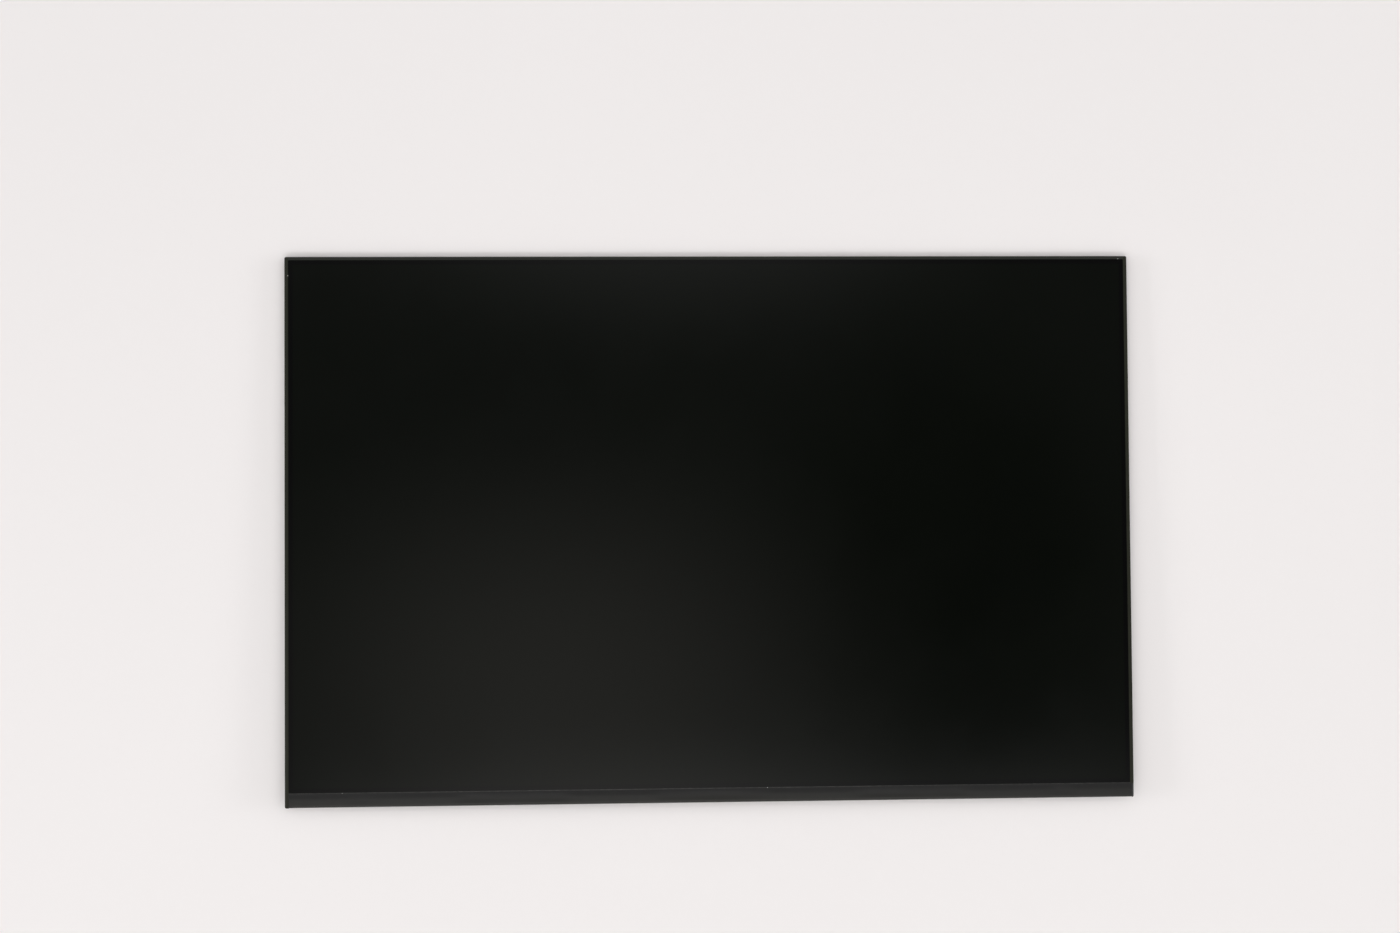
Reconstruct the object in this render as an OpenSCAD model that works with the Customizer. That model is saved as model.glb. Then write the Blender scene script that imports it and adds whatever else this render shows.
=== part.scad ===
// Bare 14 inch liquid crystal display module, as fitted in the lid of a portable computer.
// It lies on its back: +X to the right and +Y to the top of the picture, +Z out of the screen.
// The origin is on the surface below, under the middle of the outline. All sizes are in millimetres.

/* [Outline] */
// Overall width
panel_w = 307.6; // [290:0.2:360]
// Overall height
panel_h = 198.4; // [185:0.2:240]
// Radius of the outline's corners
corner_r = 0.6; // [0.3:0.1:0.6]

/* [Glass cell] */
// Thickness of each of the two glass sheets
glass_t = 0.3; // [0.25:0.05:0.5]
// Height drawn for the gap that holds the liquid crystal
gap_t = 0.02; // [0.01:0.01:0.04]
// Thickness of the matt front polarizer
front_polarizer_t = 0.15; // [0.1:0.01:0.25]
// Thickness of the rear polarizer
rear_polarizer_t = 0.13; // [0.1:0.01:0.2]
// Front polarizer's distance from the outline at each side
side_margin = 1.35; // [1.1:0.05:2]
// Front polarizer's distance from the outline at the top
top_margin = 1.2; // [1:0.05:2]
// Front polarizer's distance from the outline at the bottom
bottom_margin = 5.4; // [5.2:0.1:7]
// Bare strip of glass between the front polarizer and the driver tape
bare_glass_w = 0.3; // [0.1:0.05:0.5]
// Height of the array glass ledge that carries the driver chips
ledge_h = 3.5; // [3.3:0.1:3.7]

/* [Backlight] */
// Thickness of the light guide
guide_t = 0.6; // [0.5:0.05:1]
// Thickness of the reflector sheet
reflector_t = 0.1; // [0.08:0.01:0.2]
// Thickness of the diffuser film
diffuser_t = 0.1; // [0.08:0.01:0.2]
// Thickness of each prism film
prism_t = 0.13; // [0.1:0.01:0.2]
// Thickness of the brightness film on top of the stack
brightness_film_t = 0.14; // [0.1:0.01:0.2]
// Number of lamps along the bottom edge
lamp_count = 48; // [24:2:60]
// Length of one lamp, along the strip
lamp_l = 3; // [1:0.1:4]
// Depth of one lamp, across the strip
lamp_d = 0.85; // [0.5:0.05:0.95]
// Height of one lamp
lamp_h = 0.55; // [0.4:0.05:0.6]

/* [Back plate and frame] */
// Thickness of the metal back plate
plate_t = 0.2; // [0.15:0.05:0.3]
// Width of the frame's bars at the sides
frame_side_w = 2.2; // [2:0.05:2.3]
// Thickness of the lip that guards the glass edge
lip_t = 0.6; // [0.4:0.05:0.6]

/* [Drive electronics] */
// Number of driver chips, each with its own flexible circuit
driver_count = 4; // [3:1:4]
// Width of each flexible circuit
flex_w = 28; // [20:1:30]
// Thickness of the flexible circuits
flex_t = 0.1; // [0.08:0.01:0.12]
// Inner radius of the bend around the bottom edge
bend_r = 0.95; // [0.7:0.05:1]
// Height of the control board, across the module
board_h = 12.5; // [12.5:0.5:16]
// Thickness of the control board
board_t = 0.6; // [0.5:0.1:0.8]
// Height of the tallest part on the control board
tall_part_h = 1.2; // [1.15:0.05:1.5]
// Number of contacts in the signal socket
contact_count = 30; // [20:10:40]
// Distance from one contact to the next
contact_pitch = 0.5; // [0.4:0.1:0.5]

/* [Tapes] */
// Thickness of the black edge tapes and of the driver tape
tape_t = 0.06; // [0.05:0.01:0.08]
// Thickness of the ring of tape under the glass cell
cell_tape_t = 0.06; // [0.05:0.01:0.1]
// Thickness of the bond between the control board and the back plate
bond_t = 0.1; // [0.05:0.01:0.15]
// Width of the edge tapes on the rear
rear_flange_w = 5; // [3:0.5:8]

/* [Hidden] */
// Straight pieces in a quarter of an arc
arc_steps = 6;

// Levels above the surface below, from the rear to the front
z_board_rear = tall_part_h;
z_board_front = z_board_rear + board_t;
z_plate = z_board_front + bond_t;
z_inside = z_plate + plate_t;
z_guide = z_inside + reflector_t;
z_films = z_guide + guide_t;
film_levels = [
    0,
    diffuser_t,
    diffuser_t + prism_t,
    diffuser_t + 2 * prism_t,
    diffuser_t + 2 * prism_t + brightness_film_t
];
z_shelf = z_films + film_levels[4];
z_cell = z_shelf + cell_tape_t;
z_array = z_cell + rear_polarizer_t;
z_gap = z_array + glass_t;
z_filter = z_gap + gap_t;
z_lip = z_filter + glass_t;
z_wall_top = z_shelf - 0.3;

// Insets from the outline, as [side, top, bottom]
plate_inset = [tape_t, tape_t, 0.8];
low_frame_inset = [for (i = plate_inset) i + plate_t];
cavity_inset = [frame_side_w, 2, 2.6];
guide_inset = [cavity_inset.x + 0.1, cavity_inset.y + 0.1, 4.5];
film_inset = [cavity_inset.x + 0.15, cavity_inset.y + 0.15, 4.7];
reflector_inset = [film_inset.x, film_inset.y, 6.3];
cell_tape_outer = [1.35, 1.3, 1.9];
cell_tape_inner = [2.85, 2.65, 6.95];
rear_polarizer_inset = [1.3, 1.25, 1.8];
glass_inset = [0.8, 0.8, 1.2];
filter_inset = [glass_inset.x, glass_inset.y, glass_inset.z + ledge_h];
seal_inset = [for (i = filter_inset) i + 0.3];
crystal_inset = [for (i = seal_inset) i + 0.8];
polarizer_inset = [side_margin, top_margin, bottom_margin];
recess_inset = [tape_t + lip_t, tape_t + lip_t, 1.1];
film_r = 0.6;

// Control board, and the stretch of the bottom edge that the flexible circuits may cross
board_w = panel_w - 45.6;
board_inset = 1.5;
board_y = from_bottom(board_inset + board_h / 2);
open_w = board_w + 3;
end_w = (panel_w - open_w) / 2;

// Driver chips and their flexible circuits
driver_pitch = board_w * 0.275;
driver_xs = [for (i = [0 : driver_count - 1]) (i - (driver_count - 1) / 2) * driver_pitch];
driver_size = [26, 1, z_lip - z_gap];
driver_inset = 3.3;
flex_front_inset = 2.6;
flex_rear_inset = 4;
flex_path = wrap(
    from_bottom(flex_front_inset), from_bottom(flex_rear_inset), from_bottom(tape_t + flex_t),
    z_gap, z_board_rear, bend_r
);

// Tape over the driver chips: it leaves the glass, follows the flexible circuits and ends on the board
cover_front_inset = bottom_margin - bare_glass_w;
cover_rear_inset = 5.8;
cover_left_x = panel_w / 2 - side_margin - 0.03;
cover_right_x = panel_w / 2 - recess_inset.x - 0.04;
cover_path = concat(
    [
        [from_bottom(cover_front_inset), z_lip],
        [from_bottom(driver_inset - 0.1), z_lip]
    ],
    [for (i = [1 : len(flex_path) - 1]) outside(flex_path, flex_t)[i]],
    [
        [from_bottom(flex_rear_inset + 0.5), z_board_rear],
        [from_bottom(cover_rear_inset), z_board_rear]
    ]
);

// Strip of lamps, and its tail round the edge of the board
strip_w = panel_w - 12;
strip_inset = 2.7;
tail_x = driver_pitch * (driver_count == 4 ? 1 : 0.5);
tail_w = 10;
tail_r = (z_inside - z_board_rear) / 2 - 0.05;
tail_path = wrap(
    from_bottom(strip_inset + 0.5), from_bottom(flex_rear_inset),
    from_bottom(board_inset - 0.15 - tail_r), z_inside, z_board_rear, tail_r
);

// Ears of the films and of the light guide, which the frame holds in pockets
pocket_gap = 0.2;
film_ear = [12, 1.25];
film_ear_x = 110;
key_ear_l = 8;
key_ear_step = 12;
key_ear_y = 14;
guide_ear = [1.1, 6];
guide_ear_y = 75;

// Hooks of the frame, in the windows of the plate
hook_l = 8;
hook_h = 0.4;
hook_z = (z_inside + z_wall_top - hook_h) / 2;
hook_ys = [-60, 0, 60];
hook_xs = [-80, 0, 80];
window_gap = [0.4, 0.05];

// Signal socket
socket_x = -95;
socket_w = contact_count * contact_pitch + 6.4;
socket_d = 4.2;
socket_inset = board_inset + board_h - 0.8 - socket_d;
shell_t = 0.15;
foot = [0.9, 1.2];

// Chips that are fused to the board: rows of [first x, distance from the bottom, number, pitch]
small_chip = [1.2, 0.7, 0.5];
small_rows = [
    [-116, 12.6, 3, 2.2], [-116, 7.6, 3, 2.2], [-66, 12.9, 2, 2.2], [-54, 12.9, 4, 2.2],
    [-54, 6.9, 4, 2.2], [-31, 12.9, 3, 2.2], [-24, 7.4, 3, 2.2], [-2, 12.9, 4, 2.2],
    [14, 12.9, 7, 2.4], [14, 10.4, 7, 2.4], [14, 7.6, 5, 2.4], [90, 12.4, 8, 2.6],
    [90, 9.8, 8, 2.6], [90, 7.2, 6, 2.6]
];
// Bulk capacitors as [x, distance from the bottom]
bulk_capacitor = [3.2, 1.6, 1.1];
bulk_places = [[-71, 8.6], [-71, 11.6], [46, 8.6], [46, 11.6], [82, 8.6], [82, 11.6]];

ink = [0.045, 0.045, 0.045];
chip_black = [0.07, 0.07, 0.07];
DRIVERS = [for (i = [1 : driver_count]) i];
BULK = [for (i = [1 : len(bulk_places)]) i];

// Distances from the four sides of the outline, as coordinates
function from_left(d) = -panel_w / 2 + d;
function from_right(d) = panel_w / 2 - d;
function from_top(d) = panel_h / 2 - d;
function from_bottom(d) = -panel_h / 2 + d;

// Points on an arc about centre c, from one angle to another
function arc(c, r, from, to) =
    [for (i = [0 : arc_steps]) let (a = from + (to - from) * i / arc_steps) c + r * [cos(a), sin(a)]];

// Outline of a rectangle with rounded corners
function rounded(lo, hi, r) = r <= 0
    ? [lo, [hi.x, lo.y], hi, [lo.x, hi.y]]
    : concat(
        arc(hi - [r, r], r, 0, 90),
        arc([lo.x + r, hi.y - r], r, 90, 180),
        arc(lo + [r, r], r, 180, 270),
        arc([hi.x - r, lo.y + r], r, 270, 360)
    );

// Outline at the insets [side, top, bottom]
function at_inset(inset, r = 0) =
    rounded([from_left(inset.x), from_bottom(inset.z)], [from_right(inset.x), from_top(inset.y)], r);

// Surface of a sheet that comes off the front, bends around the bottom edge and ends on the rear
function wrap(front, rear, out, z_top, z_low, r) = concat(
    [[front, z_top]],
    arc([out + r, z_top - r], r, 90, 180),
    arc([out + r, z_low + r], r, 180, 270),
    [[rear, z_low]]
);

// Unit normal on the right of the segment from point i to the next
function normal(path, i) = let (d = path[i + 1] - path[i]) [d.y, -d.x] / norm(d);

// Mitred normal at point i of a path
function mitre(path, i) =
    i == 0 ? normal(path, 0)
    : i == len(path) - 1 ? normal(path, i - 1)
    : let (a = normal(path, i - 1), b = normal(path, i)) (a + b) / (1 + a * b);

// Surface at the distance t on the right of a path
function outside(path, t) = [for (i = [0 : len(path) - 1]) path[i] + t * mitre(path, i)];

// Section of a bent sheet of thickness t, whose inner face is the path
function bent(path, t) =
    let (outer = outside(path, t)) concat(path, [for (i = [len(path) - 1 : -1 : 0]) outer[i]]);

// Box between two corners
module block(lo, hi) {
    translate(lo) cube(hi - lo);
}

// Flat sheet at the insets [side, top, bottom]
module sheet(inset, z, t, r = 0) {
    translate([0, 0, z]) linear_extrude(t) polygon(at_inset(inset, r));
}

// Section in the plane of Y and Z, run along X
module run_along_x(x0, x1) {
    translate([x0, 0, 0]) rotate([90, 0, 90]) linear_extrude(x1 - x0) children();
}

// Section in the plane of X and Z, run along Y
module run_along_y(y0, y1) {
    translate([0, y1, 0]) rotate([90, 0, 0]) linear_extrude(y1 - y0) children();
}

// Place on the rear of the board, at x and a distance from the bottom of the outline
module on_board(x, inset) {
    translate([x, from_bottom(inset), z_board_rear]) children();
}

// Ceramic chip with two metal ends, which stand proud of its body by the rim
module end_cap_chip(size, cap, rim = 0.04) {
    block([-size.x / 2, rim - size.y / 2, rim - size.z], [size.x / 2, size.y / 2 - rim, 0]);
    for (side = [-1, 1])
        translate([side * (size.x - cap) / 2, 0, 0])
            block([-cap / 2, -size.y / 2, -size.z], [cap / 2, size.y / 2, 0]);
}

// Moulded package with its rear edges chamfered
module package(size, chamfer = 0.12) {
    half = [size.x, size.y] / 2;
    color(chip_black) intersection() {
        run_along_x(-half.x, half.x) polygon(package_section(half.y, size.z, chamfer));
        run_along_y(-half.y, half.y) polygon(package_section(half.x, size.z, chamfer));
    }
}

function package_section(half, h, chamfer) = [
    [-half, 0], [half, 0], [half, chamfer - h], [half - chamfer, -h], [chamfer - half, -h],
    [-half, chamfer - h]
];

module front_polarizer() {
    color([0.02, 0.022, 0.022]) sheet(polarizer_inset, z_lip, front_polarizer_t, 0.3);
}

module colour_filter_glass() {
    color([0.06, 0.07, 0.07]) sheet(filter_inset, z_filter, glass_t);
}

// Ring of sealant between the two glasses
module cell_seal() {
    color([0.75, 0.75, 0.7]) difference() {
        sheet(seal_inset, z_gap, gap_t);
        sheet(crystal_inset, z_gap - gap_t, 3 * gap_t, 1);
    }
}

module liquid_crystal() {
    color([0.8, 0.85, 0.85]) sheet(crystal_inset, z_gap, gap_t, 1);
}

module array_glass() {
    color([0.35, 0.42, 0.4]) sheet(glass_inset, z_array, glass_t);
}

module rear_polarizer() {
    color([0.1, 0.1, 0.11]) sheet(rear_polarizer_inset, z_cell, rear_polarizer_t, 0.3);
}

// Ring of tape that holds the glass cell on the frame and on the top film
module cell_tape() {
    color(ink) difference() {
        sheet(cell_tape_outer, z_shelf, cell_tape_t, 0.5);
        sheet(cell_tape_inner, z_shelf - cell_tape_t, 3 * cell_tape_t);
    }
}

module source_driver(x) {
    color([0.3, 0.3, 0.32])
        translate([x - driver_size.x / 2, from_bottom(driver_inset), z_gap]) cube(driver_size);
}

// Flexible circuit from the glass ledge, round the bottom edge, to the rear of the board
module panel_flex(x) {
    color([0.75, 0.45, 0.12])
        run_along_x(x - flex_w / 2, x + flex_w / 2) polygon(bent(flex_path, flex_t));
}

// Optical film with two ears at the top and a key ear at the left, staggered from film to film
module film(level) {
    translate([0, 0, z_films + film_levels[level]])
        linear_extrude(film_levels[level + 1] - film_levels[level]) union() {
            polygon(at_inset(film_inset, film_r));
            for (x = [-film_ear_x, film_ear_x])
                translate([x - film_ear.x / 2, from_top(film_inset.y) - 1])
                    square([film_ear.x, film_ear.y + 1]);
            translate([from_left(film_inset.x - film_ear.y), key_ear_y + level * key_ear_step])
                square([film_ear.y + 1, key_ear_l]);
        }
}

module diffuser_film() {
    color([0.92, 0.92, 0.92]) film(0);
}

module lower_prism_film() {
    color([0.82, 0.84, 0.86]) film(1);
}

module upper_prism_film() {
    color([0.8, 0.82, 0.85]) film(2);
}

module brightness_film() {
    color([0.75, 0.78, 0.82]) film(3);
}

// Clear plate that spreads the lamps' light, with four locating ears
module light_guide() {
    color([0.85, 0.92, 0.95]) union() {
        sheet(guide_inset, z_guide, guide_t, film_r);
        guide_ears(0, z_guide, guide_t);
    }
}

// The light guide's four ears, or with a gap the pockets that hold them
module guide_ears(gap, z, h) {
    root = panel_w / 2 - guide_inset.x;
    for (side = [-1, 1], y = [-guide_ear_y, guide_ear_y])
        translate([side * root, y, z + h / 2])
            cube([2 * (guide_ear.x + gap), guide_ear.y + 2 * gap, h], center = true);
}

module reflector_sheet() {
    color([0.93, 0.93, 0.92]) sheet(reflector_inset, z_inside, reflector_t, film_r);
}

// Flexible strip with its row of lamps and the tail that is soldered to the board
module lamp_strip() {
    pitch = strip_w / lamp_count;
    color([0.9, 0.85, 0.7]) union() {
        block(
            [-strip_w / 2, from_bottom(strip_inset), z_inside],
            [strip_w / 2, from_bottom(reflector_inset.z - 0.05), z_guide]
        );
        for (i = [0 : lamp_count - 1])
            translate([
                (i + 0.5) * pitch - (strip_w + lamp_l) / 2,
                from_bottom(guide_inset.z) - lamp_d,
                z_inside + reflector_t / 2
            ]) cube([lamp_l, lamp_d, lamp_h + reflector_t / 2]);
        run_along_x(tail_x - tail_w / 2, tail_x + tail_w / 2) polygon(bent(tail_path, flex_t));
    }
}

// Shallow tray of thin sheet: open corners, windows for the hooks and a notch for the lamp tail
module back_plate() {
    color([0.72, 0.73, 0.74]) difference() {
        sheet(
            [plate_inset.x, plate_inset.y, tape_t + flex_t], z_plate, z_wall_top - z_plate,
            corner_r - tape_t
        );
        sheet(low_frame_inset, z_inside, z_lip);
        for (side = [-1, 1])
            translate([side * panel_w / 2, 0, z_inside]) {
                block([-end_w, from_bottom(-1), 0], [end_w, from_bottom(cavity_inset.z), z_lip]);
                block([-1.2, from_top(1.2), 0], [1.2, from_top(-1), z_lip]);
            }
        block([-open_w / 2, from_bottom(-1), 0], [open_w / 2, from_bottom(plate_inset.z), z_lip]);
        block(
            [tail_x - tail_w / 2 - 1, from_bottom(-1), 0],
            [tail_x + tail_w / 2 + 1, from_bottom(board_inset + 0.2), z_lip]
        );
        at_hooks() translate([-0.1, -hook_l / 2 - window_gap.x, -window_gap.y])
            cube([plate_t + 0.2, hook_l + 2 * window_gap.x, hook_h + 2 * window_gap.y]);
    }
}

// Places of the hooks on the frame's outer faces, with X pointing out
module at_hooks() {
    for (angle = [0, 180], y = hook_ys)
        translate([cos(angle) * from_right(low_frame_inset.x), y, hook_z]) rotate(angle) children();
    for (x = hook_xs)
        translate([x, from_top(low_frame_inset.y), hook_z]) rotate(90) children();
}

// Moulded frame: bars inside the plate, a lip round the glass, hooks, and pockets for the ears
module mould_frame() {
    color(chip_black) difference() {
        union() {
            sheet(low_frame_inset, z_inside, z_shelf - z_inside);
            frame_lip();
            frame_ends();
            at_hooks() run_along_y(-hook_l / 2, hook_l / 2)
                polygon([[-0.1, 0], [plate_t, 0], [plate_t, hook_h * 0.4], [0, hook_h], [-0.1, hook_h]]);
        }
        sheet(cavity_inset, 0, z_lip + 1, 0.5);
        block(
            [from_left(recess_inset.x), from_bottom(recess_inset.z), z_shelf],
            [from_right(recess_inset.x), from_top(recess_inset.y), z_lip + 1]
        );
        film_pockets();
        guide_ears(pocket_gap, 0, z_films);
        block(
            [tail_x - tail_w / 2 - 0.5, from_bottom(0), 0],
            [tail_x + tail_w / 2 + 0.5, from_bottom(cavity_inset.z + 0.1), z_guide + 0.05]
        );
    }
}

// Lip over the plate's walls, down both sides to the bottom corners and along the top
module frame_lip() {
    intersection() {
        sheet([tape_t, tape_t, tape_t], z_wall_top, z_lip - z_wall_top, corner_r - tape_t);
        union() {
            block([from_left(0), from_bottom(cavity_inset.z), 0], [from_right(0), from_top(0), z_lip]);
            for (side = [-1, 1])
                translate([side * (panel_w - recess_inset.x) / 2, 0, 0])
                    block(
                        [-recess_inset.x / 2, from_bottom(0), 0],
                        [recess_inset.x / 2, from_bottom(cavity_inset.z), z_lip]
                    );
        }
    }
}

// Solid ends of the bottom bar, rounded to carry the driver tape
module frame_ends() {
    intersection() {
        sheet([tape_t, tape_t, tape_t], z_inside, z_gap + flex_t - z_inside, corner_r - tape_t);
        for (side = [-1, 1])
            translate([side * panel_w / 2, 0, 0])
                block([-end_w, from_bottom(0), z_inside], [end_w, from_bottom(cavity_inset.z), z_lip]);
        run_along_x(from_left(0), from_right(0))
            polygon(concat(cover_path, [[from_bottom(cover_front_inset), z_board_rear]]));
    }
}

// Pockets for the films' ears
module film_pockets() {
    for (x = [-film_ear_x, film_ear_x])
        block(
            [x - film_ear.x / 2 - pocket_gap, from_top(film_inset.y + 1), z_films],
            [x + film_ear.x / 2 + pocket_gap, from_top(film_inset.y - film_ear.y - pocket_gap), z_lip]
        );
    block(
        [from_left(film_inset.x - film_ear.y - pocket_gap), key_ear_y - pocket_gap, z_films],
        [from_left(film_inset.x + 1), key_ear_y + 3 * key_ear_step + key_ear_l + pocket_gap, z_lip]
    );
}

module board_bond() {
    color([0.12, 0.12, 0.12])
        block(
            [2 - board_w / 2, from_bottom(board_inset + 0.6), z_board_front],
            [board_w / 2 - 2, from_bottom(board_inset + board_h - 0.4), z_plate]
        );
}

// Long narrow board with a notch at each end and its small chips
module control_board() {
    color([0.05, 0.22, 0.14]) union() {
        difference() {
            translate([0, 0, z_board_rear]) linear_extrude(board_t)
                polygon(rounded(
                    [-board_w / 2, board_y - board_h / 2], [board_w / 2, board_y + board_h / 2], 0.8
                ));
            for (side = [-1, 1])
                translate([side * board_w / 2, board_y, 0]) cylinder(r = 1, h = z_plate, $fn = 48);
        }
        for (row = small_rows, i = [0 : row[2] - 1])
            on_board(row[0] + i * row[3], row[1]) end_cap_chip(small_chip, 0.25);
    }
}

module timing_controller() {
    on_board(-40, 9.9) package([7, 7, 0.85]);
}

module power_controller() {
    on_board(-61, 9.6) package([5, 5, 0.8]);
}

module level_shifter() {
    on_board(3, 9.2) package([5, 5, 0.8]);
}

module lamp_driver() {
    on_board(54, 10) package([4, 4, 0.75]);
}

module flash_memory() {
    on_board(-15, 10.5) package([4, 3, 0.6]);
}

// Power inductor: a square core with its corners cut
module inductor(side) {
    color([0.32, 0.33, 0.35]) translate([0, 0, -tall_part_h]) linear_extrude(tall_part_h) intersection() {
        square(side, center = true);
        rotate(45) square(side * 1.24, center = true);
    }
}

module boost_inductor() {
    on_board(62, 9) inductor(4);
}

module supply_inductor() {
    on_board(-79, 8.8) inductor(3.6);
}

// Flat diode on its two leads
module rectifier_diode() {
    color(chip_black) on_board(68.5, 12.3) union() {
        block([-1.3, -0.8, -0.95], [1.3, 0.8, -0.1]);
        block([-1.9, -0.5, -0.2], [1.9, 0.5, 0]);
    }
}

// Insulator of the signal socket: floor, rear wall and a tongue that carries the contacts
module socket_housing() {
    w = socket_w - 2 * shell_t;
    back = socket_d - shell_t;
    wall = 1.2;
    floor_h = 0.2;
    tongue = [tall_part_h - 0.8, tall_part_h - 0.5];
    color([0.9, 0.87, 0.78]) translate([socket_x, from_bottom(socket_inset), 0]) union() {
        difference() {
            run_along_x(-w / 2, w / 2) polygon([
                [0, z_board_rear], [0, z_board_rear - floor_h], [back - wall, z_board_rear - floor_h],
                [back - wall, tongue.y], [0.5, tongue.y], [0.5, tongue.x], [back - wall, tongue.x],
                [back - wall, shell_t], [back, shell_t], [back, z_board_rear]
            ]);
            for (side = [-1, 1])
                translate([side * w / 2, 0, 0])
                    block([-1.4, -1, 0], [1.4, back - wall, z_board_rear - floor_h]);
        }
        for (i = [0 : contact_count - 1])
            translate([(i - (contact_count - 1) / 2) * contact_pitch, 0, 0]) socket_contact(tongue.x, back);
    }
}

// One contact: a strip along the tongue, and its solder foot behind the housing
module socket_contact(z, back) {
    half = 0.2 * contact_pitch;
    block([-half, 0.7, z - 0.06], [half, back - 1, z + 0.06]);
    block([-half, back - 0.3, z_board_rear - 0.12], [half, back + 0.75, z_board_rear]);
}

// Bent metal shell over the socket, with windows in its cover and feet at its sides
module socket_shell() {
    half = socket_w / 2;
    foot_z = z_board_rear - shell_t;
    section = [
        [half + foot.x, foot_z], [half, foot_z], [half, 0], [-half, 0], [-half, foot_z],
        [-half - foot.x, foot_z]
    ];
    color([0.8, 0.8, 0.82]) translate([socket_x, from_bottom(socket_inset), 0]) difference() {
        union() {
            run_along_y(0, socket_d) polygon(bent(section, shell_t));
            block([-half, socket_d - shell_t, 0], [half, socket_d, z_board_rear - 0.35]);
        }
        for (side = [-1, 1])
            translate([side * (half + foot.x), 0, foot_z]) {
                block([-foot.x, -1, -1], [foot.x, 0.8, 1]);
                block([-foot.x, 0.8 + foot.y, -1], [foot.x, socket_d + 1, 1]);
            }
        for (x = [3 - half, -half / 3, half / 3, half - 3])
            block([x - 0.6, 1.2, -1], [x + 0.6, 2, shell_t + 0.05]);
    }
}

// Tape along one side of the module: a wall that follows the corners, and a flange on each face
module side_tape(x0, x1, y0, rear_x0, rear_x1) {
    color(ink) intersection() {
        difference() {
            sheet([0, 0, 0], z_plate - tape_t, z_lip - z_plate + 2 * tape_t, corner_r);
            sheet([tape_t, tape_t, tape_t], z_plate, z_lip - z_plate, corner_r - tape_t);
        }
        union() {
            block([x0, y0, z_plate - 1], [x1, from_top(-1), z_lip + 1]);
            block([rear_x0, y0, z_plate - 1], [rear_x1, from_top(-1), z_plate]);
        }
    }
}

module edge_tape_left() {
    side_tape(
        from_left(0), from_left(side_margin), from_bottom(0), from_left(0), from_left(rear_flange_w)
    );
}

module edge_tape_right() {
    side_tape(
        from_right(side_margin), from_right(0), from_bottom(cover_front_inset),
        from_right(rear_flange_w), from_right(0)
    );
}

module edge_tape_top() {
    x = from_right(side_margin);
    rear_x = from_right(rear_flange_w);
    color(ink) union() {
        block([-x, from_top(top_margin), z_lip], [x, from_top(0), z_lip + tape_t]);
        block([-x, from_top(tape_t), z_plate], [x, from_top(0), z_lip + tape_t]);
        block([-rear_x, from_top(rear_flange_w), z_plate - tape_t], [rear_x, from_top(0), z_plate]);
    }
}

// Tape over the driver chips and round the bottom edge; only its middle goes on to the board
module driver_tape() {
    color(ink) difference() {
        run_along_x(-cover_left_x, cover_right_x) polygon(bent(cover_path, tape_t));
        for (side = [-1, 1])
            translate([side * panel_w / 2, 0, 0])
                block([-end_w, from_bottom(-1), 0], [end_w, from_bottom(cover_rear_inset + 1), z_plate]);
    }
}

// Foil that earths the board to the back plate
module ground_tape(side) {
    top = board_y + board_h / 2;
    x = side * (board_w / 2 - 6);
    path = [[top - 2.4, z_board_rear], [top, z_board_rear], [top + 0.7, z_plate], [top + 6, z_plate]];
    color([0.8, 0.5, 0.3]) run_along_x(x - 5, x + 5) polygon(bent(path, tape_t));
}

front_polarizer();
colour_filter_glass();
cell_seal();
liquid_crystal();
array_glass();
rear_polarizer();
cell_tape();
mould_frame();
brightness_film();
upper_prism_film();
lower_prism_film();
diffuser_film();
light_guide();
reflector_sheet();
lamp_strip();
back_plate();
board_bond();
control_board();
timing_controller();
power_controller();
level_shifter();
lamp_driver();
flash_memory();
boost_inductor();
supply_inductor();
rectifier_diode();
socket_housing();
socket_shell();
edge_tape_left();
edge_tape_right();
edge_tape_top();
driver_tape();
ground_tape(-1);  // ground_tape_left
ground_tape(1);  // ground_tape_right
for (i = DRIVERS) {
    source_driver(driver_xs[i - 1]);
    panel_flex(driver_xs[i - 1]);
}
for (i = BULK)
    color([0.62, 0.5, 0.38])
            on_board(bulk_places[i - 1].x, bulk_places[i - 1].y) end_cap_chip(bulk_capacitor, 0.5);
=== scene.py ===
import math
import random

import bmesh
import bpy
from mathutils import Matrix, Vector

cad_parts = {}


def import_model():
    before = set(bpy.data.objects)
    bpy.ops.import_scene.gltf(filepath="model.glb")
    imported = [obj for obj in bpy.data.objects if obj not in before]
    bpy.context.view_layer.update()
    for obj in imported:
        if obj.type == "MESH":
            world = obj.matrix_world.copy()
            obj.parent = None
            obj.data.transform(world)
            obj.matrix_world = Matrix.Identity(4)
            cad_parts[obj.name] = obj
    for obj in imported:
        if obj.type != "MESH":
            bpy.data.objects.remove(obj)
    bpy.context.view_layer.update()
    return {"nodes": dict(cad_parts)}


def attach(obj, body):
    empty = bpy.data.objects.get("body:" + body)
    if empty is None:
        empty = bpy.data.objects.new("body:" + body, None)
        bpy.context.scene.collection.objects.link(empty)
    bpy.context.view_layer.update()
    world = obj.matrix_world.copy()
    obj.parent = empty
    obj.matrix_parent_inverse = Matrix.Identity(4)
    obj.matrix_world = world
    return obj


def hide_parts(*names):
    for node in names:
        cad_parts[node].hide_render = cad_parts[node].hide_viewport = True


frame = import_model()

# Measures of the solids, in millimetres. The part lies on its back: +Z comes out of the screen.
MM = 0.001
HALF_W, HALF_H = 153.8, 99.2
CORNER_R = 0.6
TAPE_T = 0.06
Z_BOARD, Z_BOARD_FRONT, Z_PLATE, Z_GLASS = 1.2, 1.8, 1.9, 4.11
SIDE_FLANGE, TOP_FLANGE, REAR_FLANGE = 1.35, 1.2, 5.0
# Half the stretch of the bottom edge where the flexible circuits may cross
OPEN_X = 132.5
SIDES = (-1, 1)


# Shapes

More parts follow.
